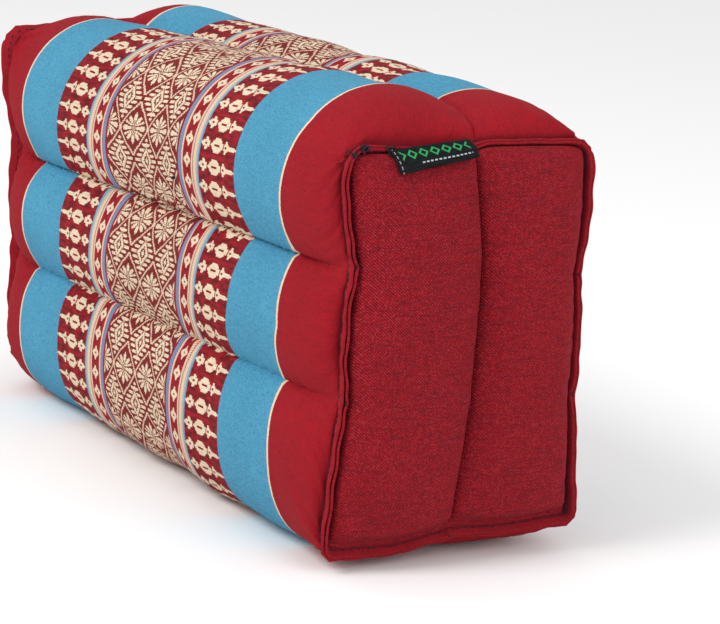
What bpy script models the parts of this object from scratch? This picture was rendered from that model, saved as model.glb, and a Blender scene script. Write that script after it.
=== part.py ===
"""Sewn block cushion: a cloth wrapped round six stuffed rolls, with a puffed cloth panel closing each end.

X runs along the cushion, with the labelled near end at +X. Y runs across its thickness and Z up.
The cushion stands on its long narrow side, and the origin is under its middle, on the surface it stands on.
"""
import math

import bmesh
import bpy
import numpy as np

# Driving sizes, in metres
LENGTH = 0.350
THICKNESS = 0.120
HEIGHT = 0.184               # to the top of the back top roll at its far end
# How much lower than that the two top rolls are, at their far and at their near end
FRONT_DROP = (0.0042, 0.0034)
BACK_DROP = (0.0, 0.0026)
ROLL_RADIUS = 0.039          # the six rolls are equal rounds that meet in the sewn channels
BASE_SAG = 0.0022            # how far the bottom rolls are pressed flat by the cushion's own weight
BASE_SQUARENESS = 0.06       # how much fuller a bottom roll is on its outer corner than a round one
ROLL_END = {"near": 0.037, "far": 0.031}     # the last stretch of the rolls, rounding over to the end seam
ROLL_END_POWER = 2.5         # above 2, so that the rounding is a little squarer than an ellipse
END_PUFF = 0.014             # how far the lobes of an end panel stand out from its seam
CLOTH = 0.0018               # an end panel and each turned edge, doubled over
PIECE_GAP = 0.0003

# The seam between wrap and end panel, with both edges turned outwards as a double lip
SEAM_X = LENGTH / 2 - END_PUFF
LIP_HEIGHT = 0.0055
LIP_ANGLE = math.radians(40)         # between the lip and the cushion's length
LIP_SWAY = math.radians(9)           # how far the lip waves to either side of that angle
LIP_WAVES = 13

# Corners of the two end seams, as (y, z). They are drawn in from the rolls, each a little differently.
END_CORNERS = {
    "near": {
        "front_top": (-0.0440, 0.1590),
        "front_bottom": (-0.0465, 0.0090),
        "back_bottom": (0.0530, 0.0130),
        "back_top": (0.0485, 0.1585),
    },
    "far": {
        "front_top": (-0.0470, 0.1660),
        "front_bottom": (-0.0425, 0.0170),
        "back_bottom": (0.0475, 0.0150),
        "back_top": (0.0475, 0.1690),
    },
}
CORNER_STEPS = 14                            # points round a corner roll, an even number
MIDDLE_STEPS = 10                            # points round a middle roll
HALF_STEPS = CORNER_STEPS // 2
COLUMNS = 2 * HALF_STEPS                     # an end panel's cells from front to back
ROWS = 2 * HALF_STEPS + MIDDLE_STEPS         # and from bottom to top
# Heights on the unit square, from -1 to 1, where the side channels meet the end seam
UPPER = 0.38
LOWER = -0.28
# Stops of the end seam on the unit square, starting at the top channel and going round by the front:
# (across, up, how far the stop is pushed out, points up to the next stop, outward bow up to the next stop)
SEAM_STOPS = (
    (0, 1, 0.0026, HALF_STEPS, 0.0006),
    (-1, 1, 0.0, HALF_STEPS, 0.0042),
    (-1, UPPER, -0.0004, MIDDLE_STEPS, 0.0016),
    (-1, LOWER, 0.0, HALF_STEPS, 0.0014),
    (-1, -1, 0.0, HALF_STEPS, 0.0010),
    (0, -1, -0.0014, HALF_STEPS, 0.0002),
    (1, -1, 0.0, HALF_STEPS, 0.0014),
    (1, LOWER, 0.0, MIDDLE_STEPS, 0.0012),
    (1, UPPER, 0.0, HALF_STEPS, 0.0034),
    (1, 1, 0.0, HALF_STEPS, 0.0010),
)

# The six sewn channels, as (y, z) at the far and at the near end of the rolls
CHANNELS = {
    "top": ((-0.003, 0.1745), (0.005, 0.1745)),
    "front_upper": ((-0.0502, 0.1125), (-0.0502, 0.1160)),
    "front_lower": ((-0.0500, 0.0615), (-0.0500, 0.0650)),
    "bottom": ((0.001, 0.0045), (-0.001, 0.0045)),
    "back_lower": ((0.0500, 0.0625), (0.0500, 0.0640)),
    "back_upper": ((0.0502, 0.1145), (0.0502, 0.1150)),
}

COLUMN = THICKNESS / 2 - ROLL_RADIUS         # the roll centres stand this far from the middle plane
TOP_CENTRE = HEIGHT - ROLL_RADIUS
BASE_CENTRE = ROLL_RADIUS - BASE_SAG
# Rolls in order round the girth: (first channel, last channel, centre y, centre z far and near, squareness).
# A middle roll's centre is half way up between its two channels.
ROLLS = (
    ("top", "front_upper", -COLUMN, (TOP_CENTRE - FRONT_DROP[0], TOP_CENTRE - FRONT_DROP[1]), 0.0),
    ("front_upper", "front_lower", -COLUMN, None, 0.0),
    ("front_lower", "bottom", -COLUMN, (BASE_CENTRE, BASE_CENTRE), BASE_SQUARENESS),
    ("bottom", "back_lower", COLUMN, (BASE_CENTRE, BASE_CENTRE), BASE_SQUARENESS),
    ("back_lower", "back_upper", COLUMN, None, 0.0),
    ("back_upper", "top", COLUMN, (TOP_CENTRE - BACK_DROP[0], TOP_CENTRE - BACK_DROP[1]), 0.0),
)
CUSP_POWER = 4               # how closely a roll keeps its round before it turns into a channel

# The end panel's two lobes
CREASE_SHARE = 0.36          # height of the crease between the lobes, as a share of the lobes' height
CREASE_BOW = 0.0034          # how far the crease bows to the back
CREASE_BOW_LIFT = 0.5        # above 0, so that it bows most in its upper half
LOBE_POWER = 2.4             # roundness of a lobe across
LOBE_EDGE = 0.62             # steepness of a lobe beside the crease, from 1 for a slope to 0 for a step
UPRIGHT_POWER = 2.8          # roundness of a lobe from bottom to top

ROLL_END_STEPS = 7
STRAIGHT_STEPS = 6

# The folded label, sewn in front of the near panel's top lip and lying over the front lobe's shoulder.
# Heights are from the seam. LABEL_START and LABEL_REACH are how far its sewn and its free edge stand out
# from the seam's plane.
LABEL_LEFT = -0.0350
LABEL_RIGHT = 0.0015
LABEL_LEAN = 0.0020
LABEL_TOP = 0.0015
LABEL_BOTTOM_LEFT = -0.0058
LABEL_BOTTOM_RIGHT = -0.0042
LABEL_START = 0.0037
LABEL_REACH = 0.0094
LABEL_BULGE = 0.0008         # how far the label is rounded by the shoulder under it
LABEL_THICKNESS = 0.0010
LABEL_COLUMNS = 8
LABEL_ROWS = 4

RED_CLOTH = (0.42, 0.012, 0.030, 1.0)
PATTERNED_CLOTH = (0.36, 0.13, 0.12, 1.0)
BLACK_TAPE = (0.010, 0.011, 0.012, 1.0)


def clear_scene():
    for thing in list(bpy.data.objects):
        bpy.data.objects.remove(thing, do_unlink=True)


def cloth_material(name, colour, roughness):
    material = bpy.data.materials.new(name)
    material.use_nodes = True
    shader = material.node_tree.nodes["Principled BSDF"]
    shader.inputs["Base Color"].default_value = colour
    shader.inputs["Roughness"].default_value = roughness
    shader.inputs["Metallic"].default_value = 0.0
    return material


def mix(a, b, share):
    return np.asarray(a) * (1 - share) + np.asarray(b) * share


def roll_arc(centre, start, end, steps, squareness):
    """Points of a roll's round in the YZ plane, from its first channel up to, but not on, its last one."""
    from_start = np.subtract(start, centre)
    from_end = np.subtract(end, centre)
    first = math.atan2(from_start[1], from_start[0])
    turn = (math.atan2(from_end[1], from_end[0]) - first) % (2 * math.pi)
    t = np.arange(steps) / steps
    angle = first + turn * t
    radius = ROLL_RADIUS * (1 + squareness * np.sin(2 * angle) ** 2)
    radius += (np.hypot(*from_start) - ROLL_RADIUS) * (1 - t) ** CUSP_POWER
    radius += (np.hypot(*from_end) - ROLL_RADIUS) * t ** CUSP_POWER
    y = centre[0] + radius * np.cos(angle)
    z = centre[1] + radius * np.sin(angle)
    return np.column_stack([y, np.maximum(z, 0.0)])


def girth(share):
    """The full section of the rolls, as an array of (y, z), at a share of the length from the far end."""
    channel = {name: mix(far, near, share) for name, (far, near) in CHANNELS.items()}
    arcs = []
    for first, last, y, heights, squareness in ROLLS:
        if heights is None:
            steps = MIDDLE_STEPS
            z = (channel[first][1] + channel[last][1]) / 2
        else:
            steps = CORNER_STEPS
            z = mix(*heights, share)
        arcs.append(roll_arc((y, z), channel[first], channel[last], steps, squareness))
    return np.concatenate(arcs)


def panel_cells():
    """Places of an end panel's columns and rows on the unit square, closest together where it curves most."""
    lobe = (1 - np.cos(np.linspace(0, math.pi, HALF_STEPS + 1))) / 2
    edge = 1 - np.cos(np.linspace(0, math.pi / 2, HALF_STEPS + 1))
    middle = np.linspace(LOWER, UPPER, MIDDLE_STEPS + 1)
    across = np.concatenate([lobe - 1, lobe[1:]])
    up = np.concatenate([mix(-1, LOWER, edge), middle[1:-1], mix(1, UPPER, edge)[::-1]])
    return across, up


def rim_cells():
    """(row, column) of the points on the panel's rim, from the top channel round by the front."""
    cells = [(ROWS, column) for column in range(HALF_STEPS, 0, -1)]
    cells += [(row, 0) for row in range(ROWS, 0, -1)]
    cells += [(0, column) for column in range(COLUMNS)]
    cells += [(row, COLUMNS) for row in range(ROWS)]
    cells += [(ROWS, column) for column in range(COLUMNS, HALF_STEPS, -1)]
    return cells


def seam_directions():
    """The direction outwards, as (y, z), at each point of the end seam."""
    across, up = panel_cells()
    square = np.array([(across[column], up[row]) for row, column in rim_cells()])
    outward = np.where(np.isclose(np.abs(square), 1.0), np.sign(square), 0.0)
    return outward / np.linalg.norm(outward, axis=1, keepdims=True)


def end_plane(across, up, end):
    """Places points of the unit square in an end seam's plane, as (y, z)."""
    corners = END_CORNERS[end]
    across = (across[..., None] + 1) / 2
    up = (up[..., None] + 1) / 2
    bottom = mix(corners["front_bottom"], corners["back_bottom"], across)
    top = mix(corners["front_top"], corners["back_top"], across)
    return mix(bottom, top, up)


def seam_outline(end):
    """The end seam's points, as (y, z), bowed out between the channels."""
    pushed = []
    for index, (across, up, push, steps, bow) in enumerate(SEAM_STOPS):
        next_push = SEAM_STOPS[(index + 1) % len(SEAM_STOPS)][2]
        t = np.arange(steps) / steps
        pushed.append(mix(push, next_push, t) + bow * 4 * t * (1 - t))
    pushed = np.concatenate(pushed)[:, None]
    across, up = panel_cells()
    cells = np.array(rim_cells())
    return end_plane(across[cells[:, 1]], up[cells[:, 0]], end) + seam_directions() * pushed


def rounded(distance, power, edge):
    """A rounded fall from 1 at no distance to 0 at a distance of 1."""
    return (1 - np.clip(distance, 0, 1) ** power) ** edge


def puff(across, up):
    """How far an end panel stands out at points of the unit square, as a share of its lobes' height."""
    from_crease = np.abs(across)
    inner = rounded(1 - from_crease / 0.5, LOBE_POWER, LOBE_EDGE)
    outer = rounded((from_crease - 0.5) / 0.5, LOBE_POWER, 1 / LOBE_POWER)
    lobe = np.where(from_crease < 0.5, CREASE_SHARE + (1 - CREASE_SHARE) * inner, outer)
    return lobe * rounded(np.abs(up), UPRIGHT_POWER, 1 / UPRIGHT_POWER)


def panel_points(end):
    """An end panel's outer face as rows of points, filled in between the four sides of its seam."""
    across, up = panel_cells()
    sheet = np.zeros((ROWS + 1, COLUMNS + 1, 2))
    for (row, column), point in zip(rim_cells(), seam_outline(end)):
        sheet[row, column] = point
    from_front = (across[None, :, None] + 1) / 2
    from_bottom = (up[:, None, None] + 1) / 2
    between_sides = mix(sheet[:, :1], sheet[:, -1:], from_front)
    between_ends = mix(sheet[:1], sheet[-1:], from_bottom)
    corners = mix(mix(sheet[:1, :1], sheet[:1, -1:], from_front),
                  mix(sheet[-1:, :1], sheet[-1:, -1:], from_front), from_bottom)
    filled = between_sides + between_ends - corners
    sheet[1:-1, 1:-1] = filled[1:-1, 1:-1]
    across, up = np.meshgrid(across, up)
    sheet[..., 0] += CREASE_BOW * (1 - across ** 2) * (1 - up ** 2) * (1 + CREASE_BOW_LIFT * up)
    return np.dstack([SEAM_X + END_PUFF * puff(across, up), sheet])


def end_seam(end):
    """The seam's points, its lip's direction, and the direction through the lip towards the wrap."""
    outline = seam_outline(end)
    outward = np.column_stack([np.zeros(len(outline)), seam_directions()])
    turn = 2 * math.pi * LIP_WAVES * np.arange(len(outline)) / len(outline)
    angle = (LIP_ANGLE + LIP_SWAY * np.sin(turn))[:, None]
    points = np.column_stack([np.full(len(outline), SEAM_X), outline])
    along = np.cos(angle) * (1, 0, 0) + np.sin(angle) * outward
    through = np.cos(angle) * outward - np.sin(angle) * (1, 0, 0)
    return points, along, through


def face_end(points, end):
    """Turns points made for the +X end round to the end that is asked for."""
    facing = 1 if end == "near" else -1
    return points * (facing, 1, 1)


def extrude_ring(bm, edges, points):
    """Extrudes a closed ring of edges to a new ring of points, and returns the new ring's edges."""
    place = bm.verts.layers.int["place"]
    grown = bmesh.ops.extrude_edge_only(bm, edges=edges)["geom"]
    for part in grown:
        if isinstance(part, bmesh.types.BMVert):
            part.co = points[part[place]]
    return [part for part in grown if isinstance(part, bmesh.types.BMEdge) and part.is_boundary]


def add_panel_sheet(bm, end):
    """Adds an end panel's outer face and the front of its lip, and returns its corners and its open edges.

    Each corner on the rim knows its place round the seam. The cells are split the same way every time,
    so that two sheets that face each other stay clear.
    """
    place = bm.verts.layers.int.get("place") or bm.verts.layers.int.new("place")
    places = {cell: index for index, cell in enumerate(rim_cells())}
    points = panel_points(end)
    corners = bmesh.ops.create_grid(bm, x_segments=COLUMNS, y_segments=ROWS, size=1)["verts"]
    for corner in corners:
        row = round((corner.co.y + 1) / 2 * ROWS)
        column = round((corner.co.x + 1) / 2 * COLUMNS)
        corner[place] = places.get((row, column), -1)
        corner.co = points[row, column]
    known = set(corners)
    rim = [edge for edge in bm.edges if edge.is_boundary and edge.verts[0] in known]
    seam, along, _ = end_seam(end)
    tip = extrude_ring(bm, rim, seam + along * LIP_HEIGHT)
    cells = [face for face in bm.faces if known.intersection(face.verts)]
    cells = bmesh.ops.triangulate(bm, faces=cells, quad_method="FIXED")["faces"]
    corners += list({vert for edge in tip for vert in edge.verts})
    if end == "far":
        bmesh.ops.scale(bm, vec=(-1, 1, 1), verts=corners)
        bmesh.ops.reverse_faces(bm, faces=cells)
    bm.normal_update()
    return corners, tip


def finish_solid(bm, name, material):
    mesh = bpy.data.meshes.new(name)
    bm.to_mesh(mesh)
    bm.free()
    mesh.shade_smooth()
    mesh.set_sharp_from_angle(angle=math.radians(38))
    mesh.materials.append(material)
    solid = bpy.data.objects.new(name, mesh)
    bpy.context.scene.collection.objects.link(solid)
    return solid


def end_rings(end):
    """Rings of the wrap from its lip's tip, by the lip's foot, to where the rolls run straight."""
    seam, along, through = end_seam(end)
    foot = seam + through * (2 * CLOTH + PIECE_GAP)
    full = girth(1.0 if end == "near" else 0.0)
    rings = [foot + along * LIP_HEIGHT]
    for step in range(ROLL_END_STEPS + 1):
        angle = math.pi / 2 * step / ROLL_END_STEPS
        fullness = math.sin(angle) ** (2 / ROLL_END_POWER)
        share = 1 - math.cos(angle) ** (2 / ROLL_END_POWER)
        x = mix(foot[:, 0], SEAM_X - ROLL_END[end], share)
        rings.append(np.column_stack([x, mix(foot[:, 1:], full, fullness)]))
    return [face_end(ring, end) for ring in rings]


def build_cushion(material):
    """The wrap and its stuffing as one solid, from the near panel's back over the six rolls to the far one."""
    bm = bmesh.new()
    corners, edges = add_panel_sheet(bm, "near")
    for corner in corners:
        corner.co -= corner.normal * (CLOTH + PIECE_GAP)
    straight = []
    for step in range(1, STRAIGHT_STEPS):
        share = 1 - step / STRAIGHT_STEPS
        x = mix(ROLL_END["far"] - SEAM_X, SEAM_X - ROLL_END["near"], share)
        section = girth(share)
        straight.append(np.column_stack([np.full(len(section), x), section]))
    for points in end_rings("near") + straight + end_rings("far")[::-1]:
        edges = extrude_ring(bm, edges, points)
    corners, far_edges = add_panel_sheet(bm, "far")
    for corner in corners:
        corner.co -= corner.normal * (CLOTH + PIECE_GAP)
    place = bm.verts.layers.int["place"]
    tip = {corner[place]: corner.co.copy() for edge in far_edges for corner in edge.verts}
    extrude_ring(bm, edges, tip)
    bmesh.ops.remove_doubles(bm, verts=bm.verts, dist=0.00001)
    bmesh.ops.recalc_face_normals(bm, faces=bm.faces)
    return finish_solid(bm, "cushion_body", material)


def build_end_panel(end, material):
    """A cloth panel with two upright lobes, its edge turned out along the wrap's."""
    bm = bmesh.new()
    add_panel_sheet(bm, end)
    panel = finish_solid(bm, "end_panel_" + end, material)
    thicken = panel.modifiers.new("cloth", "SOLIDIFY")
    thicken.thickness = CLOTH
    thicken.offset = -1.0
    return panel


def build_label(material):
    """The folded tab: it starts in front of the near panel's top lip and lies over the front lobe's shoulder."""
    top_seam = seam_outline("near")[HALF_STEPS::-1]
    bm = bmesh.new()
    corners = bmesh.ops.create_grid(bm, x_segments=LABEL_COLUMNS, y_segments=LABEL_ROWS, size=0.5)["verts"]
    for corner in corners:
        along = corner.co.x + 0.5
        down = 0.5 - corner.co.y
        bulge = LABEL_BULGE * 4 * down * (1 - down)
        y = mix(LABEL_LEFT, LABEL_RIGHT, along)
        seam_height = np.interp(y, top_seam[:, 0], top_seam[:, 1])
        drop = mix(LABEL_TOP, mix(LABEL_BOTTOM_LEFT, LABEL_BOTTOM_RIGHT, along), down)
        x = SEAM_X + mix(LABEL_START, LABEL_REACH, down)
        corner.co = (x + bulge, y + LABEL_LEAN * down, seam_height + drop + bulge)
    label = finish_solid(bm, "label", material)
    thicken = label.modifiers.new("two layers", "SOLIDIFY")
    thicken.thickness = LABEL_THICKNESS
    thicken.offset = 0.0
    return label


def main():
    clear_scene()
    patterned = cloth_material("patterned_cloth", PATTERNED_CLOTH, 0.9)
    red = cloth_material("red_cloth", RED_CLOTH, 0.88)
    tape = cloth_material("black_tape", BLACK_TAPE, 0.6)
    build_cushion(patterned)
    for end in ("near", "far"):
        build_end_panel(end, red)
    build_label(tape)


main()
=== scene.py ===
"""Looks of the sewn block cushion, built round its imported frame.

X runs along the cushion with the labelled near end at +X, Y across its thickness and Z up, in metres.
The wrap is six stuffed rolls of woven cloth. Each end has a red panel with two lobes, and the label is
sewn in at the near end's top seam.
"""
import math

import bmesh
import bpy
import numpy as np
from mathutils import Matrix, Vector


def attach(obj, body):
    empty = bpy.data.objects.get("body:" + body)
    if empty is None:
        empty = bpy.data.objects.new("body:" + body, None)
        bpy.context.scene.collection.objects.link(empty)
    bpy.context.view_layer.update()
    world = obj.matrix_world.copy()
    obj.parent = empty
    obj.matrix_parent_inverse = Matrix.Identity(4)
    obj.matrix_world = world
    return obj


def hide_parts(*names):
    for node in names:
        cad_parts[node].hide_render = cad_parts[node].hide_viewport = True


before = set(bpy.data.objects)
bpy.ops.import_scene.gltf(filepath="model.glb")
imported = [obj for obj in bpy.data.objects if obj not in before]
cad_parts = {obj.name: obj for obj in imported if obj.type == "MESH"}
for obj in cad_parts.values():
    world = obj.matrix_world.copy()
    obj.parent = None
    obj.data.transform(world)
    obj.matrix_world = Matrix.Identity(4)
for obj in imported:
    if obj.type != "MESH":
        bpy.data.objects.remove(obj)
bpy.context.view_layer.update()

BODY = "root"

# The block's own sizes, the same as in the frame, apart from the far back roll's drop, the seam's bow near
# the upper channels, the cloth and the numbers of points. Pairs hold the far end's value and the near end's.
LENGTH = 0.350
THICKNESS = 0.120
HEIGHT = 0.184
FRONT_DROP = (0.0042, 0.0034)  # how far the top rolls lie below the full height
BACK_DROP = (-0.0018, 0.0026)
ROLL_RADIUS = 0.039
BASE_SAG = 0.0022            # how far the two lowest rolls sink, and how much squarer they are
BASE_SQUARENESS = 0.06
ROLL_END = {"near": 0.037, "far": 0.031}  # over how much of its length a roll rounds off
ROLL_END_POWER = 2.5
END_PUFF = 0.014
UPPER = 0.38                 # where the side channels meet an end's seam, from -1 at its foot to 1 on top
LOWER = -0.28
CLOTH = 0.0011
PIECE_GAP = 0.0003
SEAM_X = LENGTH / 2 - END_PUFF
SEAM_OFFSET = 0.0008         # how far the finer cloth's seam lies outside the frame's thicker one
# The lips round the ends, finer than the frame's. Each side has its height, its lean outwards from standing
# straight out of the end, and the thickness of its cloth.
LIPS = {
    "near": {
        "front": (0.0054, math.radians(25), 0.00120),
        "back": (0.0052, math.radians(17), 0.00090),
        "top": (0.0024, math.radians(24), 0.00085),
        "bottom": (0.0036, math.radians(50), 0.00100),
    },
    "far": {
        "front": (0.0060, math.radians(50), 0.00120),
        "back": (0.0052, math.radians(32), 0.00110),
        "top": (0.0048, math.radians(34), 0.00100),
        "bottom": (0.0042, math.radians(48), 0.00100),
    },
}
LIP_SEEDS = {"near": 40, "far": 50}
LIP_WAVES = (24, 27, 45)     # waves round an end in a lip's lean, its height and its cloth
LIP_SWAY = math.radians(4)   # how much the lean changes along it, and as shares the height and the cloth
LIP_UNEVENNESS = 0.08
CLOTH_UNEVENNESS = 0.12
LIP_PINCH = math.radians(9)  # how far a lip is pulled in where a channel meets it
PINCH_LOWERING = 0.08
PINCH_THICKENING = 0.35
PINCH_REACH = 0.0024
# How far each end's seam lies from the frame's simpler one: (place along the side, shift in y, shift in z)
SEAM_SHIFTS = {
    "near": {
        "top": ((-1, -0.0032, 0.0004), (-0.55, -0.0014, -0.0016), (-0.1, 0.0, -0.0006), (0, 0.0, -0.0014),
                (0.12, 0.0, -0.0002), (0.6, 0.0003, 0.0004), (1, 0.0010, 0.0014)),
        "bottom": ((-1, -0.0032, 0.0009), (-0.5, -0.0010, -0.0010), (0, -0.0018, 0.0010),
                   (0.5, 0.0, -0.0004), (1, 0.0013, 0.0008)),
        "front": ((-1, -0.0032, 0.0009), (LOWER, 0.0, 0.0038), (UPPER, 0.0, 0.0062), (1, -0.0032, 0.0004)),
        "back": ((-1, 0.0013, 0.0008), (-0.8, -0.0008, 0.0), (LOWER, -0.0013, -0.0016),
                 (UPPER, -0.0013, -0.0018), (0.85, -0.0008, 0.0), (1, 0.0010, 0.0014)),
    },
    "far": {
        "top": ((-1, -0.0026, -0.0004), (-0.4, 0.0, 0.0)),
        "bottom": ((-1, -0.0010, 0.0), (-0.4, 0.0, 0.0)),
        "front": ((-1, -0.0010, 0.0), (LOWER, 0.0, 0.0), (UPPER, 0.0, 0.0), (1, -0.0026, -0.0004)),
        "back": ((0, 0.0, 0.0),),
    },
}
# Each end's corners, as (y, z)
END_CORNERS = {
    "near": {
        "front_top": (-0.0440, 0.1590),
        "front_bottom": (-0.0465, 0.0090),
        "back_bottom": (0.0530, 0.0130),
        "back_top": (0.0485, 0.1585),
    },
    "far": {
        "front_top": (-0.0470, 0.1660),
        "front_bottom": (-0.0425, 0.0170),
        "back_bottom": (0.0475, 0.0150),
        "back_top": (0.0475, 0.1690),
    },
}
HALF_STEPS = 35              # points round half a corner roll
MIDDLE_STEPS = 50            # points round a middle roll
COLUMNS = 2 * HALF_STEPS     # an end panel's columns and rows
ROWS = 2 * HALF_STEPS + MIDDLE_STEPS
RIM_STEPS = 2 * (COLUMNS + ROWS)
# Stops round the end seam: (across, up, push outwards, points up to the next stop, bow outwards between)
SEAM_STOPS = (
    (0, 1, 0.0026, HALF_STEPS, 0.0006),
    (-1, 1, 0.0, HALF_STEPS, 0.0034),
    (-1, UPPER, -0.0004, MIDDLE_STEPS, 0.0016),
    (-1, LOWER, 0.0, HALF_STEPS, 0.0014),
    (-1, -1, 0.0, HALF_STEPS, 0.0010),
    (0, -1, -0.0014, HALF_STEPS, 0.0002),
    (1, -1, 0.0, HALF_STEPS, 0.0014),
    (1, LOWER, 0.0, MIDDLE_STEPS, 0.0012),
    (1, UPPER, 0.0, HALF_STEPS, 0.0034),
    (1, 1, 0.0, HALF_STEPS, 0.0010),
)
# The six sewn channels, as (y, z) at the far and at the near end, and the way into the block from each
CHANNELS = {
    "top": ((-0.003, 0.1745), (0.005, 0.1745), (0, -1)),
    "front_upper": ((-0.0502, 0.1125), (-0.0502, 0.1160), (1, 0)),
    "front_lower": ((-0.0500, 0.0615), (-0.0500, 0.0650), (1, 0)),
    "bottom": ((0.001, 0.0045), (-0.001, 0.0045), (0, 1)),
    "back_lower": ((0.0500, 0.0625), (0.0500, 0.0640), (-1, 0)),
    "back_upper": ((0.0502, 0.1145), (0.0502, 0.1150), (-1, 0)),
}
COLUMN = THICKNESS / 2 - ROLL_RADIUS
TOP_CENTRE = HEIGHT - ROLL_RADIUS
BASE_CENTRE = ROLL_RADIUS - BASE_SAG
# Rolls in order round the girth: (name, first and last channel, centre y, centre z far and near, squareness)
ROLLS = (
    ("front_top", "top", "front_upper", -COLUMN,
     (TOP_CENTRE - FRONT_DROP[0], TOP_CENTRE - FRONT_DROP[1]), 0.0),
    ("front_middle", "front_upper", "front_lower", -COLUMN, None, 0.0),
    ("front_bottom", "front_lower", "bottom", -COLUMN, (BASE_CENTRE, BASE_CENTRE), BASE_SQUARENESS),
    ("back_bottom", "bottom", "back_lower", COLUMN, (BASE_CENTRE, BASE_CENTRE), BASE_SQUARENESS),
    ("back_middle", "back_lower", "back_upper", COLUMN, None, 0.0),
    ("back_top", "back_upper", "top", COLUMN,
     (TOP_CENTRE - BACK_DROP[0], TOP_CENTRE - BACK_DROP[1]), 0.0),
)
CUSP_POWER = 4               # how suddenly a roll runs into its channels
CREASE_SHARE = 0.36          # how far the crease between the lobes stands out, as a share of the lobes
CREASE_BOW = 0.0034          # how far it bows to the back, and how much more so higher up
CREASE_BOW_LIFT = 0.5
LOBE_POWER = 2.4             # how full the lobes are across and at the crease, and upright
LOBE_EDGE = 0.62
UPRIGHT_POWER = 2.8

# Finer forms that only the looks have
LIP_STEPS = 5
ROLL_END_STEPS = 24
STRAIGHT_STEPS = 200
CORNER_ROUNDING = 1          # rim points on either side over which the lip turns a corner
LEAN_BLENDING = 12           # rim points on either side over which its lean changes there
STEP_CROWDING = 0.7          # how much closer the cloth's rows lie at the channels
TUCK_DEPTH = 0.0014          # how much deeper than the frame's channel the cloth is pulled in
TUCK_REACH = 0.0012
TOP_CREASE = 2.4             # how many times deeper the top channel is where it nears the ends
TOP_CREASE_REACH = 0.5       # how far in that reaches, as a share of a roll's rounded end
LIP_CLEARANCE = 3            # rings from the lip's foot over which creases and wrinkles begin
CORNER_PLEATS = 0.0017       # height of the wrinkles that run out from the corners
CORNER_REACH = 0.0105
CORNER_START = 0.0025
CORNER_FOLDS = (9, 15)       # wrinkles in a full turn round a corner, broad and fine
GATHER_HEIGHT = 0.0003035    # height of the small gathers along the lips
GATHER_REACH = 0.22          # where they stand highest, as a share of a roll's rounded end
GATHERS = (62, 110)          # gathers round an end, broad and fine
FINER_SHARE = 0.6            # how high the fine wrinkles and gathers are beside the broad ones
PUCKER_HEIGHT = 0.00085
PUCKER_REACH = 0.0065
PUCKER_START = 0.0012
PUCKER_LENGTH = 0.0080       # from one pucker to the next along a channel
FINE_PUCKER_LENGTH = 0.0042
FINE_PUCKER_REACH = 0.0030
FINE_PUCKER_SHARE = 0.5
SWELL_HEIGHT = 0.00044
SWELL_LENGTH = 0.075
SWELL_MARGIN = 0.012         # how far from a channel the swells are whole
SWELLS = 5
PANEL_FOOT = 0.0065          # over how much of its lower edge a panel curves down to its seam
PANEL_BULGE_HEIGHT = 0.0040
CREASE_DEPTH = 0.0016        # how much deeper the crease between the lobes is than the frame's
CREASE_WIDTH = 0.018         # its half width, as a share of a lobe
PANEL_BULGES = {"front": 0.0012, "back": 0.0003, "top": 0.0012}
PANEL_BULGE_REACH = 0.30     # how far in from its sides and from its top a panel bulges, on its unit square
PANEL_TOP_REACH = 0.16
PANEL_EDGE = 0.05            # how far in its waves are whole
# Soft waves on a panel: their height, axis, length and seed, and how far in they reach
TOP_WAVES = (0.0006, 1, 0.009, 5, 0.10)
SIDE_WAVES = (0.0005, 2, 0.010, 6, 0.12)
CREASE_WAVES = (0.0004, 2, 0.017, 7, 0.09)
BROAD_WAVE_HEIGHT = 0.0007
BROAD_WAVE_LENGTHS = (0.070, 0.045)
WALL_STEP = 0.0005           # how far inwards each ring of a roll's hidden wall goes
WALL_END = SEAM_X - 0.006    # how far along the block its middle reaches
MERGING = 0.0002             # points of the walls' middle nearer than this are made one
# The lip's folded edge, ring by ring: how far through its two layers, and how far up its height
LIP_FOLD = ((0.12, 1.06), (0.32, 1.10), (0.68, 1.10), (0.88, 1.06), (1.0, 1.0), (1.0, 0.0))
ROLL_PAINTED_SHADE = 0.45           # painted shade: how dark a roll is at its lip's foot, and over how many rings
ROLL_PAINTED_SHADE_RINGS = 1.2
ROLL_LIP_RINGS = 2           # rings over which the lip's own look fades out
# Painted shade in a panel's groove: how dark it is and how far up its lip it reaches, elsewhere and at the
# back
PANEL_PAINTED_SHADE = (0.5, 1.0)
PANEL_PAINTED_SHADE_REACH = (0.35, 0.85)
PANEL_PAINTED_SHADE_FALL = 1.8      # how fast it fades
SHARP_ANGLE = math.radians(50)

# The stitches: how far up the lip, the ranges of their length and of the way on to the next, and the radii
# of their threads
LIP_STITCH_HEIGHT = 0.42
LIP_STITCH_LENGTH = (0.0018, 0.0026)
LIP_STITCH_STEP = (0.0028, 0.0036)
SEAM_STITCH_HEIGHT = 0.22
SEAM_STITCH_LENGTH = (0.0014, 0.0024)
CHANNEL_STITCH_LENGTH = (0.0016, 0.0024)
CHANNEL_STITCH_STEP = (0.0042, 0.0060)
CHANNEL_STITCH_LIMIT = SEAM_X - 0.012
LIP_THREAD = 0.00026
SEAM_THREAD = 0.00024
CHANNEL_THREAD = 0.00020

# The knots: rim points from the near end's top front corner, and their size
KNOTS = ((1, 0.0013), (-2, 0.0014), (-5, 0.0008), (-11, 0.0011), (-12, 0.0009))
CHANNEL_KNOT = 0.0006
KNOT_LIFT = 0.0004
# The lone one on the wrap, at its ring and its step round the girth
LONE_KNOT = (155, 51)
LONE_KNOT_SIZE = 0.0009

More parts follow.
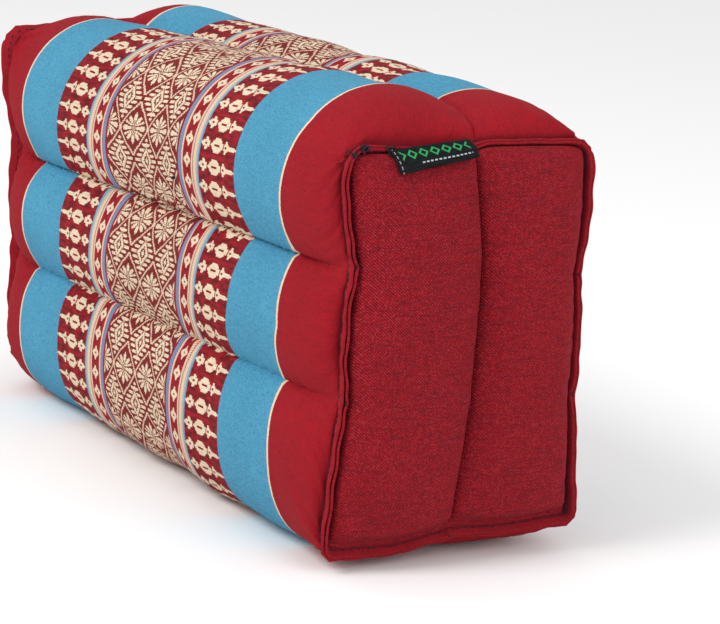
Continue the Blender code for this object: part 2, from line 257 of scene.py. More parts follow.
# The woven pattern, in metres from the middle of the cloth
THREAD_ACROSS = 0.022 / 28   # a chart's column in the lattice
THREAD_ALONG = 0.0263 / 60   # a chart's row
LATTICE_EDGE = 0.0330
LOZENGE_MIDDLE = 0.04295
LOZENGE_COLUMN = 0.0004
TOTEM_START = 0.0531
SKY_START = 0.0840
SKY_END = 0.1265
TOTEM_COLUMN = (SKY_START - TOTEM_START) / 39
FURTHEST = 0.3               # a place beyond the cloth's ends
BORDER_ROWS = 10             # rows from the middle of a totem or lozenge to halfway to the next
FIELD_LINE = 0.0014          # the cream line between a blue field and a red end
EDGE_UNEVENNESS = 0.00025    # how far the stripes' edges stray either way
DIAGONAL_SLOPE = 0.53        # columns to a row along the lattice's diagonals, and their half width
DIAGONAL_HALF = 1.6
WRAP_PITCH = 0.00042         # one thread of each cloth
PANEL_PITCH = 0.00040
TAPE_PITCH = 0.00025
TWIST_AROUND = 2 * math.pi / 0.00085  # the twist of the striped cords
TWIST_ACROSS = 2 * math.pi / 0.0016
# How far the cloth has drifted along the block, at the stops below, on the near channel side, the crest and
# the last channel side of each roll
DRIFT_STOPS = (-SKY_END, -SKY_START, -0.0358, 0.0, 0.0358, SKY_START, SKY_END)
DRIFTS = {
    "front_top": ((0.003, 0.007, 0.009, 0.0052, 0.0015, 0.002, 0.0),
                  (0.0, 0.0, 0.002, 0.0034, 0.0015, 0.0008, 0.0),
                  (-0.006, -0.0120, -0.0070, 0.0058, 0.0, 0.003, -0.005)),
    "front_middle": ((0.0, -0.0048, 0.0050, 0.0060, 0.0023, 0.0015, -0.005),
                     (0.0, -0.0002, 0.0015, 0.0030, 0.0035, 0.0012, 0.0),
                     (0.0, -0.0070, -0.0045, -0.0045, -0.0046, -0.0065, -0.008)),
    "front_bottom": ((0.0, -0.0001, -0.0002, -0.0010, -0.0025, -0.0035, -0.005),
                     (0.0, 0.0010, 0.0050, 0.0050, 0.0010, -0.0015, 0.0),
                     (0.0, 0.0010, 0.0050, 0.0050, 0.0010, -0.0015, 0.0)),
    "back_bottom": ((0.0, 0.0010, 0.0020, 0.0015, 0.0010, -0.0015, 0.0),) * 3,
    "back_middle": ((0.0, 0.0010, 0.0, 0.0, 0.0, 0.0010, 0.0),) * 3,
    "back_top": ((0.0, 0.0010, 0.0, 0.0, 0.0, 0.0, 0.0), (0.0, 0.0010, 0.0, 0.0, 0.0, 0.0, 0.0),
                 (0.0, 0.0020, 0.0, 0.0, 0.0, 0.0, 0.0)),
}
# How far the front top roll's weft has slipped down the girth, at places along the block
SLIP_PLACES = (-0.070, -0.022, 0.0, 0.026, 0.070)
SLIPS = (0.0007, 0.0030, 0.0014, -0.0006, -0.0008)
# Where each roll's first channel lies on the cloth's own length round the girth
CLOTH_START = {
    "front_top": -0.0780,
    "front_middle": -0.0094,
    "front_bottom": -0.0249,
    "back_bottom": 0.0120,
    "back_middle": 0.0020,
    "back_top": -0.0060,
}

# A quarter of the lattice, from a diamond's middle at the first thread to a flower's middle at the last
LATTICE_CHART = (
    "##..###.#####..",
    "##.###.######..",
    "#..###.........",
    "#..##..........",
    "..###.####...##",
    ".###.######..##",
    ".###.#####..##.",
    ".##.........##.",
    "###........##..",
    "##.####....##..",
    "##.#####..##...",
    "#.#####..##....",
    "#........##....",
    ".#......##.....",
    "####...##......",
    "#####..#......#",
    "#####.##......#",
    "#.....#......##",
    ".....##......##",
    "##...#...#...##",
    "##..##..###..##",
    "#...#...####.##",
    "...##....###.##",
    "...#..#..####.#",
    "..##.###..###.#",
    "..#...####.##.#",
    ".##.....####.#.",
    ".#........####.",
    "##..####......#",
    "##..########.#.",
    "##.##########.#",
)
LATTICE_COLUMNS = len(LATTICE_CHART[0]) - 1
LATTICE_ROWS = len(LATTICE_CHART) - 1
# Half a totem, from its long axis outwards, with its flower towards the lattice and its stem at the blue
TOTEM_CHART = (
    "####..###.####......####.#..###########",
    ".########..#############.############..",
    "..#######...############.#####.........",
    "....###.....##########....###..........",
    "....###......#########....##...........",
    "....##........#######.....##...........",
    "..............######...................",
)
# A quarter of a lozenge
LOZENGE_CHART = (
    "..######",
    "#######.",
    "######..",
    "####....",
    "###.....",
    "##......",
    "##......",
)
CHART_COLUMNS_A_NUMBER = 20  # a float holds this many threads exactly

# The label's corners as it hangs, its size laid flat, and its grid
LABEL_TOP_LEFT = (0.1646, -0.0368, 0.1618)
LABEL_TOP_RIGHT = (0.1646, -0.0027, 0.1653)
LABEL_BOTTOM_LEFT = (0.1706, -0.0345, 0.1538)
LABEL_BOTTOM_RIGHT = (0.1698, 0.0001, 0.1594)
LABEL_WIDTH = 0.0345
LABEL_DROP = 0.0100
LABEL_BULGE = 0.0008
LABEL_THICKNESS = 0.0010
LABEL_COLUMNS = 48
LABEL_ROWS = 20
LABEL_CURL = 0.00035
# Its woven ornament, in metres on the flat label
LOZENGES_START = 0.0028
LABEL_LOZENGE = 0.0049
LOZENGE_COUNT = 6
LOZENGE_LINE = 0.0036
LOZENGE_HALF = 0.0022
BROKEN_LINE = 0.0075
BROKEN_LINE_START = 0.0100
HEM_LINE = 0.0012
RIB = 0.0007

# Linear colours
CREAM = (0.80, 0.665, 0.485, 1)
CREAM_LINE = (0.72, 0.58, 0.40, 1)
CREAM_STRIPE = (0.56, 0.43, 0.29, 1)
SHADED_CREAM = (0.46, 0.31, 0.20, 1)
ROSE_CREAM = (0.60, 0.32, 0.25, 1)
GROUND_RED = (0.31, 0.013, 0.020, 1)
MAROON = (0.20, 0.011, 0.016, 1)
DARK_MAROON = (0.120, 0.010, 0.013, 1)
# painted shade of the lattice's cream floats, mixed into its ground
LATTICE_SHADED_GROUND = (0.125, 0.022, 0.018, 1)
BROWN = (0.15, 0.060, 0.040, 1)
PURPLE = (0.15, 0.17, 0.34, 1)
PALE_BLUE = (0.17, 0.33, 0.43, 1)
SKY = (0.082, 0.315, 0.470, 1)
DEEP_SKY = (0.040, 0.195, 0.330, 1)
WRAP_RED = (0.330, 0.0095, 0.0165, 1)
DEEP_RED = (0.160, 0.0075, 0.0140, 1)
PANEL_RED = (0.375, 0.0090, 0.0150, 1)
PANEL_ROSE = (0.520, 0.0380, 0.0560, 1)
PANEL_DEEP_RED = (0.190, 0.0080, 0.0130, 1)
PANEL_NAVY = (0.040, 0.0095, 0.0185, 1)
LIP_RED = (0.300, 0.0118, 0.0192, 1)
INK = (0.010, 0.010, 0.016, 1)
TAPE_BLACK = (0.004, 0.005, 0.006, 1)
TAPE_GREEN = (0.03, 0.34, 0.10, 1)
TAPE_GREY = (0.50, 0.52, 0.52, 1)
TAPE_SOOT = (0.012, 0.014, 0.016, 1)
PALE_INK = (0.05, 0.02, 0.03, 1)
RED_THREAD = (0.09, 0.008, 0.014, 1)
PALE_RED_THREAD = (0.16, 0.015, 0.022, 1)
FLOOR_WHITE = (0.94, 0.94, 0.94, 1)
# The striped cords between the lattice and the totems: from, to, and the two colours of their twist
CORDS = (
    (0.0347, 0.0373, PURPLE, PALE_BLUE),
    (0.0376, 0.0391, ROSE_CREAM, CREAM),
    (0.0464, 0.0477, ROSE_CREAM, CREAM),
    (0.0477, 0.0483, BROWN, ROSE_CREAM),
    (0.0483, 0.0493, ROSE_CREAM, CREAM),
    (0.0493, 0.0505, CREAM_STRIPE, CREAM),
    (0.0505, 0.0519, CREAM_STRIPE, PALE_BLUE),
    (0.0519, TOTEM_START, SKY, PALE_BLUE),
)

# The camera, at the photo's angle
YAW = math.radians(60.0)
PITCH = math.radians(11.7)
ROLL = math.radians(3.2)
DISTANCE = 1.13
SIDE_SHIFT = -0.042
RISE_SHIFT = 0.0245
TARGET = Vector((0, 0, 0.09))
LENS = 130
SENSOR = 36
# The studio lights: name, place, width and power
LIGHTS = (("key", (0.2, -1.5, 1.6), 1.0, 22), ("fill", (1.8, 0.3, 0.9), 1.2, 8))
LIGHTS_AIM = Vector((0, 0, 0.08))
SKY_LIGHT = 0.85


def mix(a, b, share):
    return np.asarray(a) * (1 - share) + np.asarray(b) * share


def unit(vectors):
    return vectors / np.maximum(np.linalg.norm(vectors, axis=-1, keepdims=True), 1e-12)


def wander(x, length, seed):
    """A smooth uneven wave along x, about from -1 to 1, from four sines of about the given length."""
    shapes = np.random.default_rng(seed)
    total = np.zeros_like(x)
    for _ in range(4):
        total += np.sin(2 * math.pi * (x / length * shapes.uniform(0.6, 1.5) + shapes.uniform()))
    return total / 2.6


def ring_wander(places, waves, seed):
    """The same round a ring, from five sines, at places given as shares of it."""
    shapes = np.random.default_rng(seed)
    total = np.zeros_like(places)
    for _ in range(5):
        total += np.sin(2 * math.pi * (places * round(waves * shapes.uniform(0.5, 1.5)) + shapes.uniform()))
    return total / 3.0


def averaged(values, reach):
    """Values round a closed ring, each averaged with its neighbours."""
    return sum(np.roll(values, step, axis=0) for step in range(-reach, reach + 1)) / (2 * reach + 1)


def ring_run(ring):
    """The way along a closed ring of points to each of them, and the whole way round."""
    steps = np.linalg.norm(np.roll(ring, -1, axis=0) - ring, axis=1)
    return np.concatenate([[0], np.cumsum(steps)[:-1]]), steps.sum()


def roll_steps(roll):
    """How many points a roll has round the girth, where a middle roll has fewer."""
    return MIDDLE_STEPS if roll[4] is None else 2 * HALF_STEPS


def channel_places():
    """The rim point at which each channel lies, the first one of the roll that starts there."""
    starts = np.cumsum([0, *(roll_steps(roll) for roll in ROLLS)])
    return {roll[1]: int(start) for roll, start in zip(ROLLS, starts)}


def roll_spans():
    """Each roll with its first rim point and the one after its last."""
    starts = [*channel_places().values(), RIM_STEPS]
    return list(zip(ROLLS, starts, starts[1:]))


def roll_section(roll, share):
    """A roll's round in the YZ plane, from its first channel up to, but not on, its last one."""
    _, first, last, y, heights, squareness = roll
    start = mix(*CHANNELS[first][:2], share)
    end = mix(*CHANNELS[last][:2], share)
    z = (start[1] + end[1]) / 2 if heights is None else mix(*heights, share)
    from_start = start - (y, z)
    from_end = end - (y, z)
    first_angle = math.atan2(from_start[1], from_start[0])
    turn = (math.atan2(from_end[1], from_end[0]) - first_angle) % (2 * math.pi)
    t = np.arange(roll_steps(roll)) / roll_steps(roll)
    t = t - STEP_CROWDING * np.sin(2 * math.pi * t) / (2 * math.pi)
    angle = first_angle + turn * t
    radius = ROLL_RADIUS * (1 + squareness * np.sin(2 * angle) ** 2)
    radius += (np.hypot(*from_start) - ROLL_RADIUS) * (1 - t) ** CUSP_POWER
    radius += (np.hypot(*from_end) - ROLL_RADIUS) * t ** CUSP_POWER
    return np.column_stack([y + radius * np.cos(angle), np.maximum(z + radius * np.sin(angle), 0.0)])


def girth(share):
    return np.concatenate([roll_section(roll, share) for roll in ROLLS])


def panel_cells():
    """Places of an end panel's columns and rows on the unit square."""
    lobe = (1 - np.cos(np.linspace(0, math.pi, HALF_STEPS + 1))) / 2
    edge = 1 - np.cos(np.linspace(0, math.pi / 2, HALF_STEPS + 1))
    middle = np.linspace(LOWER, UPPER, MIDDLE_STEPS + 1)
    across = np.concatenate([lobe - 1, lobe[1:]])
    up = np.concatenate([mix(-1, LOWER, edge), middle[1:-1], mix(1, UPPER, edge)[::-1]])
    return across, up


def rim_cells():
    """(row, column) of the points on the panel's rim, from the top channel round by the front."""
    cells = [(ROWS, column) for column in range(HALF_STEPS, 0, -1)]
    cells += [(row, 0) for row in range(ROWS, 0, -1)]
    cells += [(0, column) for column in range(COLUMNS)]
    cells += [(row, COLUMNS) for row in range(ROWS)]
    cells += [(ROWS, column) for column in range(COLUMNS, HALF_STEPS, -1)]
    return cells


def seam_directions():
    """The direction outwards, as (y, z), at each point of the end seam, longer at the corners."""
    across, up = panel_cells()
    square = np.array([(across[column], up[row]) for row, column in rim_cells()])
    return np.where(np.isclose(np.abs(square), 1.0), np.sign(square), 0.0)


def turned_directions():
    """The same directions, turning over a few points at the corners."""
    return averaged(seam_directions(), CORNER_ROUNDING)


def end_plane(across, up, end):
    corners = END_CORNERS[end]
    across = (across[..., None] + 1) / 2
    up = (up[..., None] + 1) / 2
    bottom = mix(corners["front_bottom"], corners["back_bottom"], across)
    top = mix(corners["front_top"], corners["back_top"], across)
    return mix(bottom, top, up)


def seam_outline(end):
    """The end seam's points, as (y, z), bowed out between the channels."""
    pushed = []
    for index, (across, up, push, steps, bow) in enumerate(SEAM_STOPS):
        next_push = SEAM_STOPS[(index + 1) % len(SEAM_STOPS)][2]
        t = np.arange(steps) / steps
        pushed.append(mix(push, next_push, t) + bow * 4 * t * (1 - t))
    pushed = np.concatenate(pushed)[:, None]
    outward = unit(seam_directions())
    across, up = panel_cells()
    cells = np.array(rim_cells())
    across = across[cells[:, 1]]
    up = up[cells[:, 0]]
    outline = end_plane(across, up, end) + outward * pushed
    shift = np.zeros_like(outline)
    for side, on_side, place in (("top", up == 1, across), ("bottom", up == -1, across),
                                 ("front", across == -1, up), ("back", across == 1, up)):
        stops, sideways, upwards = np.array(SEAM_SHIFTS[end][side]).T
        moved = np.column_stack([np.interp(place, stops, sideways), np.interp(place, stops, upwards)])
        shift[on_side] = moved[on_side]
    return outline + shift


def rounded(distance, power, edge):
    return (1 - np.clip(distance, 0, 1) ** power) ** edge


def puff(across, up):
    """How far an end panel stands out at points of the unit square, as a share of its lobes' height."""
    from_crease = np.abs(across)
    inner = rounded(1 - from_crease / 0.5, LOBE_POWER, LOBE_EDGE)
    outer = rounded((from_crease - 0.5) / 0.5, LOBE_POWER, 1 / LOBE_POWER)
    lobe = np.where(from_crease < 0.5, CREASE_SHARE + (1 - CREASE_SHARE) * inner, outer)
    return lobe * rounded(np.abs(up), UPRIGHT_POWER, 1 / UPRIGHT_POWER)


def panel_points(end):
    """An end panel's outer face as rows of points, filled in between the four sides of its seam."""
    across, up = panel_cells()
    sheet = np.zeros((ROWS + 1, COLUMNS + 1, 2))
    for (row, column), point in zip(rim_cells(), seam_outline(end)):
        sheet[row, column] = point
    from_front = (across[None, :, None] + 1) / 2
    from_bottom = (up[:, None, None] + 1) / 2
    between_sides = mix(sheet[:, :1], sheet[:, -1:], from_front)
    between_ends = mix(sheet[:1], sheet[-1:], from_bottom)
    corners = mix(mix(sheet[:1, :1], sheet[:1, -1:], from_front),
                  mix(sheet[-1:, :1], sheet[-1:, -1:], from_front), from_bottom)
    filled = between_sides + between_ends - corners
    sheet[1:-1, 1:-1] = filled[1:-1, 1:-1]
    across, up = np.meshgrid(across, up)
    sheet[..., 0] += CREASE_BOW * (1 - across ** 2) * (1 - up ** 2) * (1 + CREASE_BOW_LIFT * up)
    return np.dstack([SEAM_X + END_PUFF * puff(across, up), sheet]), across, up


def end_seam(end):
    """The seam's points, its lip's direction, the direction through the lip, its height and its cloth.

    They are given for an end that faces +X.
    """
    outline = seam_outline(end)
    directions = turned_directions()
    run, length = ring_run(outline)
    shares = {"front": np.clip(-directions[:, 0], 0, 1), "back": np.clip(directions[:, 0], 0, 1),
              "bottom": np.clip(-directions[:, 1], 0, 1), "top": np.clip(directions[:, 1], 0, 1)}
    whole = sum(share ** 2 for share in shares.values())
    height, lean, cloth = (
        averaged(averaged(sum(LIPS[end][side][part] * share ** 2 for side, share in shares.items()) / whole,
                          LEAN_BLENDING), LEAN_BLENDING // 2) for part in range(3))
    sway, rise, swell = (ring_wander(run / length, waves, LIP_SEEDS[end] + number)
                         for number, waves in enumerate(LIP_WAVES))
    pinch = np.zeros(RIM_STEPS)
    for place in channel_places().values():
        away = np.abs(run - run[place])
        pinch += np.exp(-(np.minimum(away, length - away) / PINCH_REACH) ** 2)
    lean = (lean + LIP_SWAY * sway - LIP_PINCH * pinch)[:, None]
    height = (height * (1 + LIP_UNEVENNESS * rise - PINCH_LOWERING * pinch))[:, None]
    cloth = (cloth * (1 + CLOTH_UNEVENNESS * swell + PINCH_THICKENING * pinch))[:, None]
    outward = np.column_stack([np.zeros(RIM_STEPS), directions])
    along = np.cos(lean) * (1, 0, 0) + np.sin(lean) * outward
    through = np.cos(lean) * outward - np.sin(lean) * (1, 0, 0)
    points = np.column_stack([np.full(RIM_STEPS, SEAM_X), outline]) + through * SEAM_OFFSET
    return points, along, through, height, cloth


def facing(end):
    return np.array((1 if end == "near" else -1, 1, 1))


def placed_lip(end):
    """The same on the block: the seam's points, the rise to the lip's tip, the way through it, its cloth."""
    seam, along, through, height, cloth = end_seam(end)
    return seam * facing(end), along * height * facing(end), through * facing(end), cloth


def end_rings(end):
    """Rings of the wrap from its lip's tip, by the lip's foot, to where the rolls run straight."""
    seam, along, through, height, cloth = end_seam(end)
    foot = seam + through * (2 * cloth + PIECE_GAP)
    full = girth(1.0 if end == "near" else 0.0)
    rings = [foot + along * height * (1 - step / LIP_STEPS) for step in range(LIP_STEPS)]
    for step in range(ROLL_END_STEPS + 1):
        angle = math.pi / 2 * step / ROLL_END_STEPS
        fullness = math.sin(angle) ** (2 / ROLL_END_POWER)
        share = 1 - math.cos(angle) ** (2 / ROLL_END_POWER)
        x = mix(foot[:, 0], SEAM_X - ROLL_END[end], share)
        rings.append(np.column_stack([x, mix(foot[:, 1:], full, fullness)]))
    return [ring * facing(end) for ring in rings]


def wrap_surface():
    """The whole wrap as rings of points from the far lip's tip to the near one's, before its fine forms."""
    straight = []
    for step in range(1, STRAIGHT_STEPS):
        share = step / STRAIGHT_STEPS
        x = mix(ROLL_END["far"] - SEAM_X, SEAM_X - ROLL_END["near"], share)
        section = girth(share)
        straight.append(np.column_stack([np.full(len(section), x), section]))
    return np.array(end_rings("far") + straight + end_rings("near")[::-1])


def surface_normals(points):
    """Outward normals of the wrap's rings of points."""
    along = np.gradient(points, axis=0)
    around = np.roll(points, -1, axis=1) - np.roll(points, 1, axis=1)
    return unit(np.cross(around, along))


def girth_lengths(points):
    """Distance round the girth of each point from its roll's first channel, and that roll's whole length."""
    run, length = ring_run(points[len(points) // 2])
    run = np.append(run, length)
    distance = np.zeros(RIM_STEPS)
    whole = np.zeros(RIM_STEPS)
    for _, first, last in roll_spans():
        distance[first:last] = run[first:last] - run[first]
        whole[first:last] = run[last] - run[first]
    return distance, whole


def channel_tucks(nearest, free, clear):
    """How far the cloth is pulled into its channels, and deeper into the top one where it nears the ends."""
    tuck = TUCK_DEPTH * np.exp(-(nearest / TUCK_REACH) ** 2)
    moved = np.zeros((len(free), RIM_STEPS, 3))
    for name, place in channel_places().items():
        depth = free
        if name == "top":
            depth = np.maximum(free, TOP_CREASE * clear * np.exp(-free / TOP_CREASE_REACH))
        for step in range(-HALF_STEPS // 2, HALF_STEPS // 2 + 1):
            index = (place + step) % RIM_STEPS
            moved[:, index] += tuck[index] * depth * (0, *CHANNELS[name][2])
    return moved


def channel_puckers(points, nearest):
    """Height of the puckers that run out from the channels, other ones on each side."""
    lift = np.zeros(points.shape[:2])
    fall = PUCKER_HEIGHT * np.exp(-nearest / PUCKER_REACH) * (1 - np.exp(-nearest / PUCKER_START))
    fine_fall = FINE_PUCKER_SHARE * np.exp(-nearest / FINE_PUCKER_REACH)
    for number, place in enumerate(channel_places().values()):
        x = points[:, place, 0]
        for side, steps in ((-1, range(-HALF_STEPS // 2, 0)), (1, range(HALF_STEPS // 2))):
            wave = wander(x, PUCKER_LENGTH, 10 * number + side + 1)
            finer = wander(x, FINE_PUCKER_LENGTH, 10 * number + side + 5)
            for step in steps:
                index = (place + step) % RIM_STEPS
                lift[:, index] += fall[index] * (wave + fine_fall[index] * finer)
    return lift


def corner_wrinkles(points):
    """Height of the wrinkles that run out from the corners of both ends."""
    lift = np.zeros(points.shape[:2])
    broad, fine = CORNER_FOLDS
    for end in ("near", "far"):
        seam = placed_lip(end)[0]
        for row, column in ((0, 0), (0, COLUMNS), (ROWS, 0), (ROWS, COLUMNS)):
            away = points - seam[rim_cells().index((row, column))]
            distance = np.linalg.norm(away, axis=2)
            angle = np.arctan2(away[..., 2], np.abs(away[..., 0]) + 0.001)
            fall = np.exp(-distance / CORNER_REACH) * (1 - np.exp(-distance / CORNER_START))
            wave = np.cos(angle * broad + row + 2 * column) + FINER_SHARE * np.cos(angle * fine + column)
            lift += CORNER_PLEATS * fall * wave
    return lift


def lip_gathers(points, from_lip):
    """Height of the small gathers that run out from the lips."""
    run, length = ring_run(points[len(points) // 2])
    share = np.append(run[1:], length) / length
    broad, fine = GATHERS
    wave = ring_wander(share, broad, 12) + FINER_SHARE * ring_wander(share, fine, 13)
    away = np.clip(from_lip, 0, None) / ROLL_END_STEPS / GATHER_REACH
    return GATHER_HEIGHT * away * np.exp(1 - away) * wave


def roll_swells(points, nearest):
    """Height of the broad soft swells and dents, which fade out towards the channels."""
    around = np.arange(RIM_STEPS) / RIM_STEPS
    swell = np.zeros(points.shape[:2])
    for number in range(SWELLS):
        turns = around * (4 + number) + number * 0.37
        swell += wander(points[..., 0], SWELL_LENGTH, 100 + number) * np.sin(2 * math.pi * turns)
    return SWELL_HEIGHT * swell * np.clip(nearest / SWELL_MARGIN, 0, 1)


def shape_cloth(points):
    """Pulls the cloth into its channels, and puckers, wrinkles, gathers and swells it."""
    distance, whole = girth_lengths(points)
    nearest = np.minimum(distance, whole - distance)
    rings = np.arange(len(points))
    from_lip = (np.minimum(rings, len(points) - 1 - rings) - LIP_STEPS)[:, None]
    free = np.clip(from_lip / ROLL_END_STEPS, 0, 1)
    clear = np.clip(from_lip / LIP_CLEARANCE, 0, 1)
    lift = channel_puckers(points, nearest) * free
    lift += corner_wrinkles(points) * clear
    lift += lip_gathers(points, from_lip)
    lift += roll_swells(points, nearest) * free
    shaped = points + channel_tucks(nearest, free, clear) + surface_normals(points) * lift[..., None]
    shaped[..., 2] = np.maximum(shaped[..., 2], 0.0)
    return shaped


def cloth_places(points):
    """Places on the flat woven cloth: from its middle line along the block, and round the girth.

    The third value is each point's whole roll, as its length round the girth.
    """
    distance, whole = girth_lengths(points)
    steps = np.linalg.norm(np.diff(points, axis=0), axis=2)
    along = np.concatenate([np.zeros((1, RIM_STEPS)), np.cumsum(steps, axis=0)])
    middle = int(np.argmin(np.abs(points[:, 0, 0])))
    along = along - along[middle] + points[middle, :, 0]
    across = np.zeros_like(along)
    around = np.zeros_like(along)
    stops = np.array((-FURTHEST, *DRIFT_STOPS, FURTHEST))
    for roll, first, last in roll_spans():
        for index in range(first, last):
            share = distance[index] / whole[index]
            drift = [np.interp(share, (0, 0.5, 1), drifts) for drifts in zip(*DRIFTS[roll[0]])]
            drift = np.array([drift[0], *drift, drift[-1]])
            across[:, index] = np.interp(along[:, index], stops + drift, stops)
            around[:, index] = CLOTH_START[roll[0]] + distance[index]
            if roll[0] == "front_top":
                around[:, index] -= np.interp(along[:, index], SLIP_PLACES, SLIPS)
    return across, around, whole


def cloth_grid(columns, rows, *masks):
    """A flat grid whose points keep their own column and row, and have masks of the given names.

    The shade mask says how much painted shade a point has, deep in a seam, and "lip" how far it belongs to
    the lip.
    """
    bm = bmesh.new()
    column_layer = bm.verts.layers.int.new("column")
    row_layer = bm.verts.layers.int.new("row")
    mask_layers = [bm.verts.layers.float.new(mask) for mask in masks]
    for corner in bmesh.ops.create_grid(bm, x_segments=columns, y_segments=rows, size=1)["verts"]:
        corner[column_layer] = round((corner.co.x + 1) / 2 * columns)
        corner[row_layer] = round((corner.co.y + 1) / 2 * rows)
    return bm, column_layer, row_layer, *mask_layers


def map_cloth(bm, flat_place):
    """Gives the corners of every face their places on the flat cloth."""
    cloth = bm.loops.layers.uv.new("cloth")
    for face in bm.faces:
        for loop in face.loops:
            loop[cloth].uv = flat_place(loop.vert)


def extrude_edge(bm, edges):
    """Extrudes a closed ring of edges in place, and returns the new ring's edges and its corners."""
    grown = bmesh.ops.extrude_edge_only(bm, edges=edges)["geom"]
    corners = [part for part in grown if isinstance(part, bmesh.types.BMVert)]
    edges = [part for part in grown if isinstance(part, bmesh.types.BMEdge) and part.is_boundary]
    return edges, corners


def new_object(bm, name, material):
    mesh = bpy.data.meshes.new(name)
    bm.to_mesh(mesh)
    bm.free()
    mesh.materials.append(material)
    thing = bpy.data.objects.new(name, mesh)
    bpy.context.scene.collection.objects.link(thing)
    return thing


def finish_piece(bm, name, material):
    piece = new_object(bm, name, material)
    piece.data.shade_smooth()
    piece.data.set_sharp_from_angle(angle=SHARP_ANGLE)
    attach(piece, BODY)
    return piece


def add_thickness(piece, name, thickness, offset):
    thicken = piece.modifiers.new(name, "SOLIDIFY")
    thicken.thickness = thickness
    thicken.offset = offset


def build_roll(span, points, flat, material):
    """One stuffed roll: its cloth between two channels and from lip to lip, closed by hidden inner walls."""
    roll, first, last = span
    across, around, whole = flat
    steps = last - first
    rim = [(first + step) % RIM_STEPS for step in range(steps + 1)]
    rings = len(points)
    bm, ring_layer, step_layer, painted_shade_layer, lip_layer = cloth_grid(rings - 1, steps, "painted_shade", "lip")
    for corner in bm.verts:
        ring = corner[ring_layer]
        corner.co = points[ring, rim[corner[step_layer]]]
        from_lip = min(ring, rings - 1 - ring) - LIP_STEPS
        corner[lip_layer] = float(np.clip(1 - from_lip / ROLL_LIP_RINGS, 0, 1))
        # painted shade, darkest at the lip's foot
        corner[painted_shade_layer] = ROLL_PAINTED_SHADE * math.exp(-(from_lip / ROLL_PAINTED_SHADE_RINGS) ** 2)
    middle = Vector((0, roll[3], float(np.mean(points[rings // 2, [rim[0], rim[-1]], 2]))))
    lips = {0: placed_lip("far"), rings - 1: placed_lip("near")}
    edges = [edge for edge in bm.edges if edge.is_boundary]
    for lip_fold, lip_depth in LIP_FOLD:
        edges, corners = extrude_edge(bm, edges)
        for corner in corners:
            index = rim[corner[step_layer]]
            if corner[ring_layer] in lips:
                seam, rise, through, cloth = lips[corner[ring_layer]]
                share = PIECE_GAP + cloth[index] * (2 - lip_fold)
                corner.co = seam[index] + through[index] * share + rise[index] * lip_depth
            else:
                inward = Vector((0, middle.y - corner.co.y, middle.z - corner.co.z))
                corner.co += inward.normalized() * WALL_STEP
    edges, corners = extrude_edge(bm, edges)
    for corner in corners:
        x = points[corner[ring_layer], rim[corner[step_layer]], 0]
        corner.co = (float(np.clip(x, -WALL_END, WALL_END)), middle.y, middle.z)
    bmesh.ops.remove_doubles(bm, verts=corners, dist=MERGING)
    bmesh.ops.dissolve_degenerate(bm, edges=bm.edges, dist=0.00001)
    bmesh.ops.recalc_face_normals(bm, faces=bm.faces)

    def flat_place(corner):
        """The last row's points end this roll's cloth, although the next roll starts at them."""
        ring = corner[ring_layer]
        step = corner[step_layer]
        if step < steps:
            return across[ring, rim[step]], around[ring, rim[step]]
        return across[ring, rim[step - 1]], around[ring, rim[0]] + whole[rim[0]]

    map_cloth(bm, flat_place)
    piece = finish_piece(bm, "roll_" + roll[0], material)
    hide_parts("cushion_body")
    return piece


def shape_panel(end):
    """An end panel's points, full against its lip on three sides and running down into it at the bottom."""
    points, across, up = panel_points(end)
    half_height = (END_CORNERS[end]["front_top"][1] - END_CORNERS[end]["front_bottom"][1]) / 2
    low = np.clip((1 + up) * half_height / PANEL_FOOT, 0, 1)
    lift = (points[..., 0] - SEAM_X) * low * low * (3 - 2 * low)
    full = lift / PANEL_BULGE_HEIGHT * np.exp(1 - lift / PANEL_BULGE_HEIGHT)
    from_side = 1 - np.abs(across)
    from_top = 1 - np.abs(up)
    side = np.sign(across) * np.exp(-(from_side / PANEL_BULGE_REACH) ** 2)
    points[..., 1] += side * full * np.where(across < 0, PANEL_BULGES["front"], PANEL_BULGES["back"])
    points[..., 2] += np.exp(-((1 - up) / PANEL_TOP_REACH) ** 2) * full * PANEL_BULGES["top"]
    broad_up, broad_across = BROAD_WAVE_LENGTHS
    waves = BROAD_WAVE_HEIGHT * wander(points[..., 2], broad_up, 8) * wander(points[..., 1], broad_across, 9)
    for (height, axis, length, seed, reach), away in (
            (TOP_WAVES, from_top), (SIDE_WAVES, from_side), (CREASE_WAVES, np.abs(across))):
        waves += height * wander(points[..., axis], length, seed) * np.exp(-away / reach)
    calm = np.clip(np.minimum(from_top, from_side) / PANEL_EDGE, 0, 1)
    crease = CREASE_DEPTH * np.exp(-(across / CREASE_WIDTH) ** 2)
    points[..., 0] = SEAM_X + lift + calm * (waves - crease)
    for (row, column), point in zip(rim_cells(), end_seam(end)[0]):
        points[row, column] = point
    return points


def heights_on_cloth(points):
    """How far up its own cloth each point of a panel lies, from the middle row."""
    steps = np.linalg.norm(np.diff(points, axis=0), axis=2)
    run = np.concatenate([np.zeros((1, COLUMNS + 1)), np.cumsum(steps, axis=0)])
    return run - run[ROWS // 2] + points[ROWS // 2, :, 2]


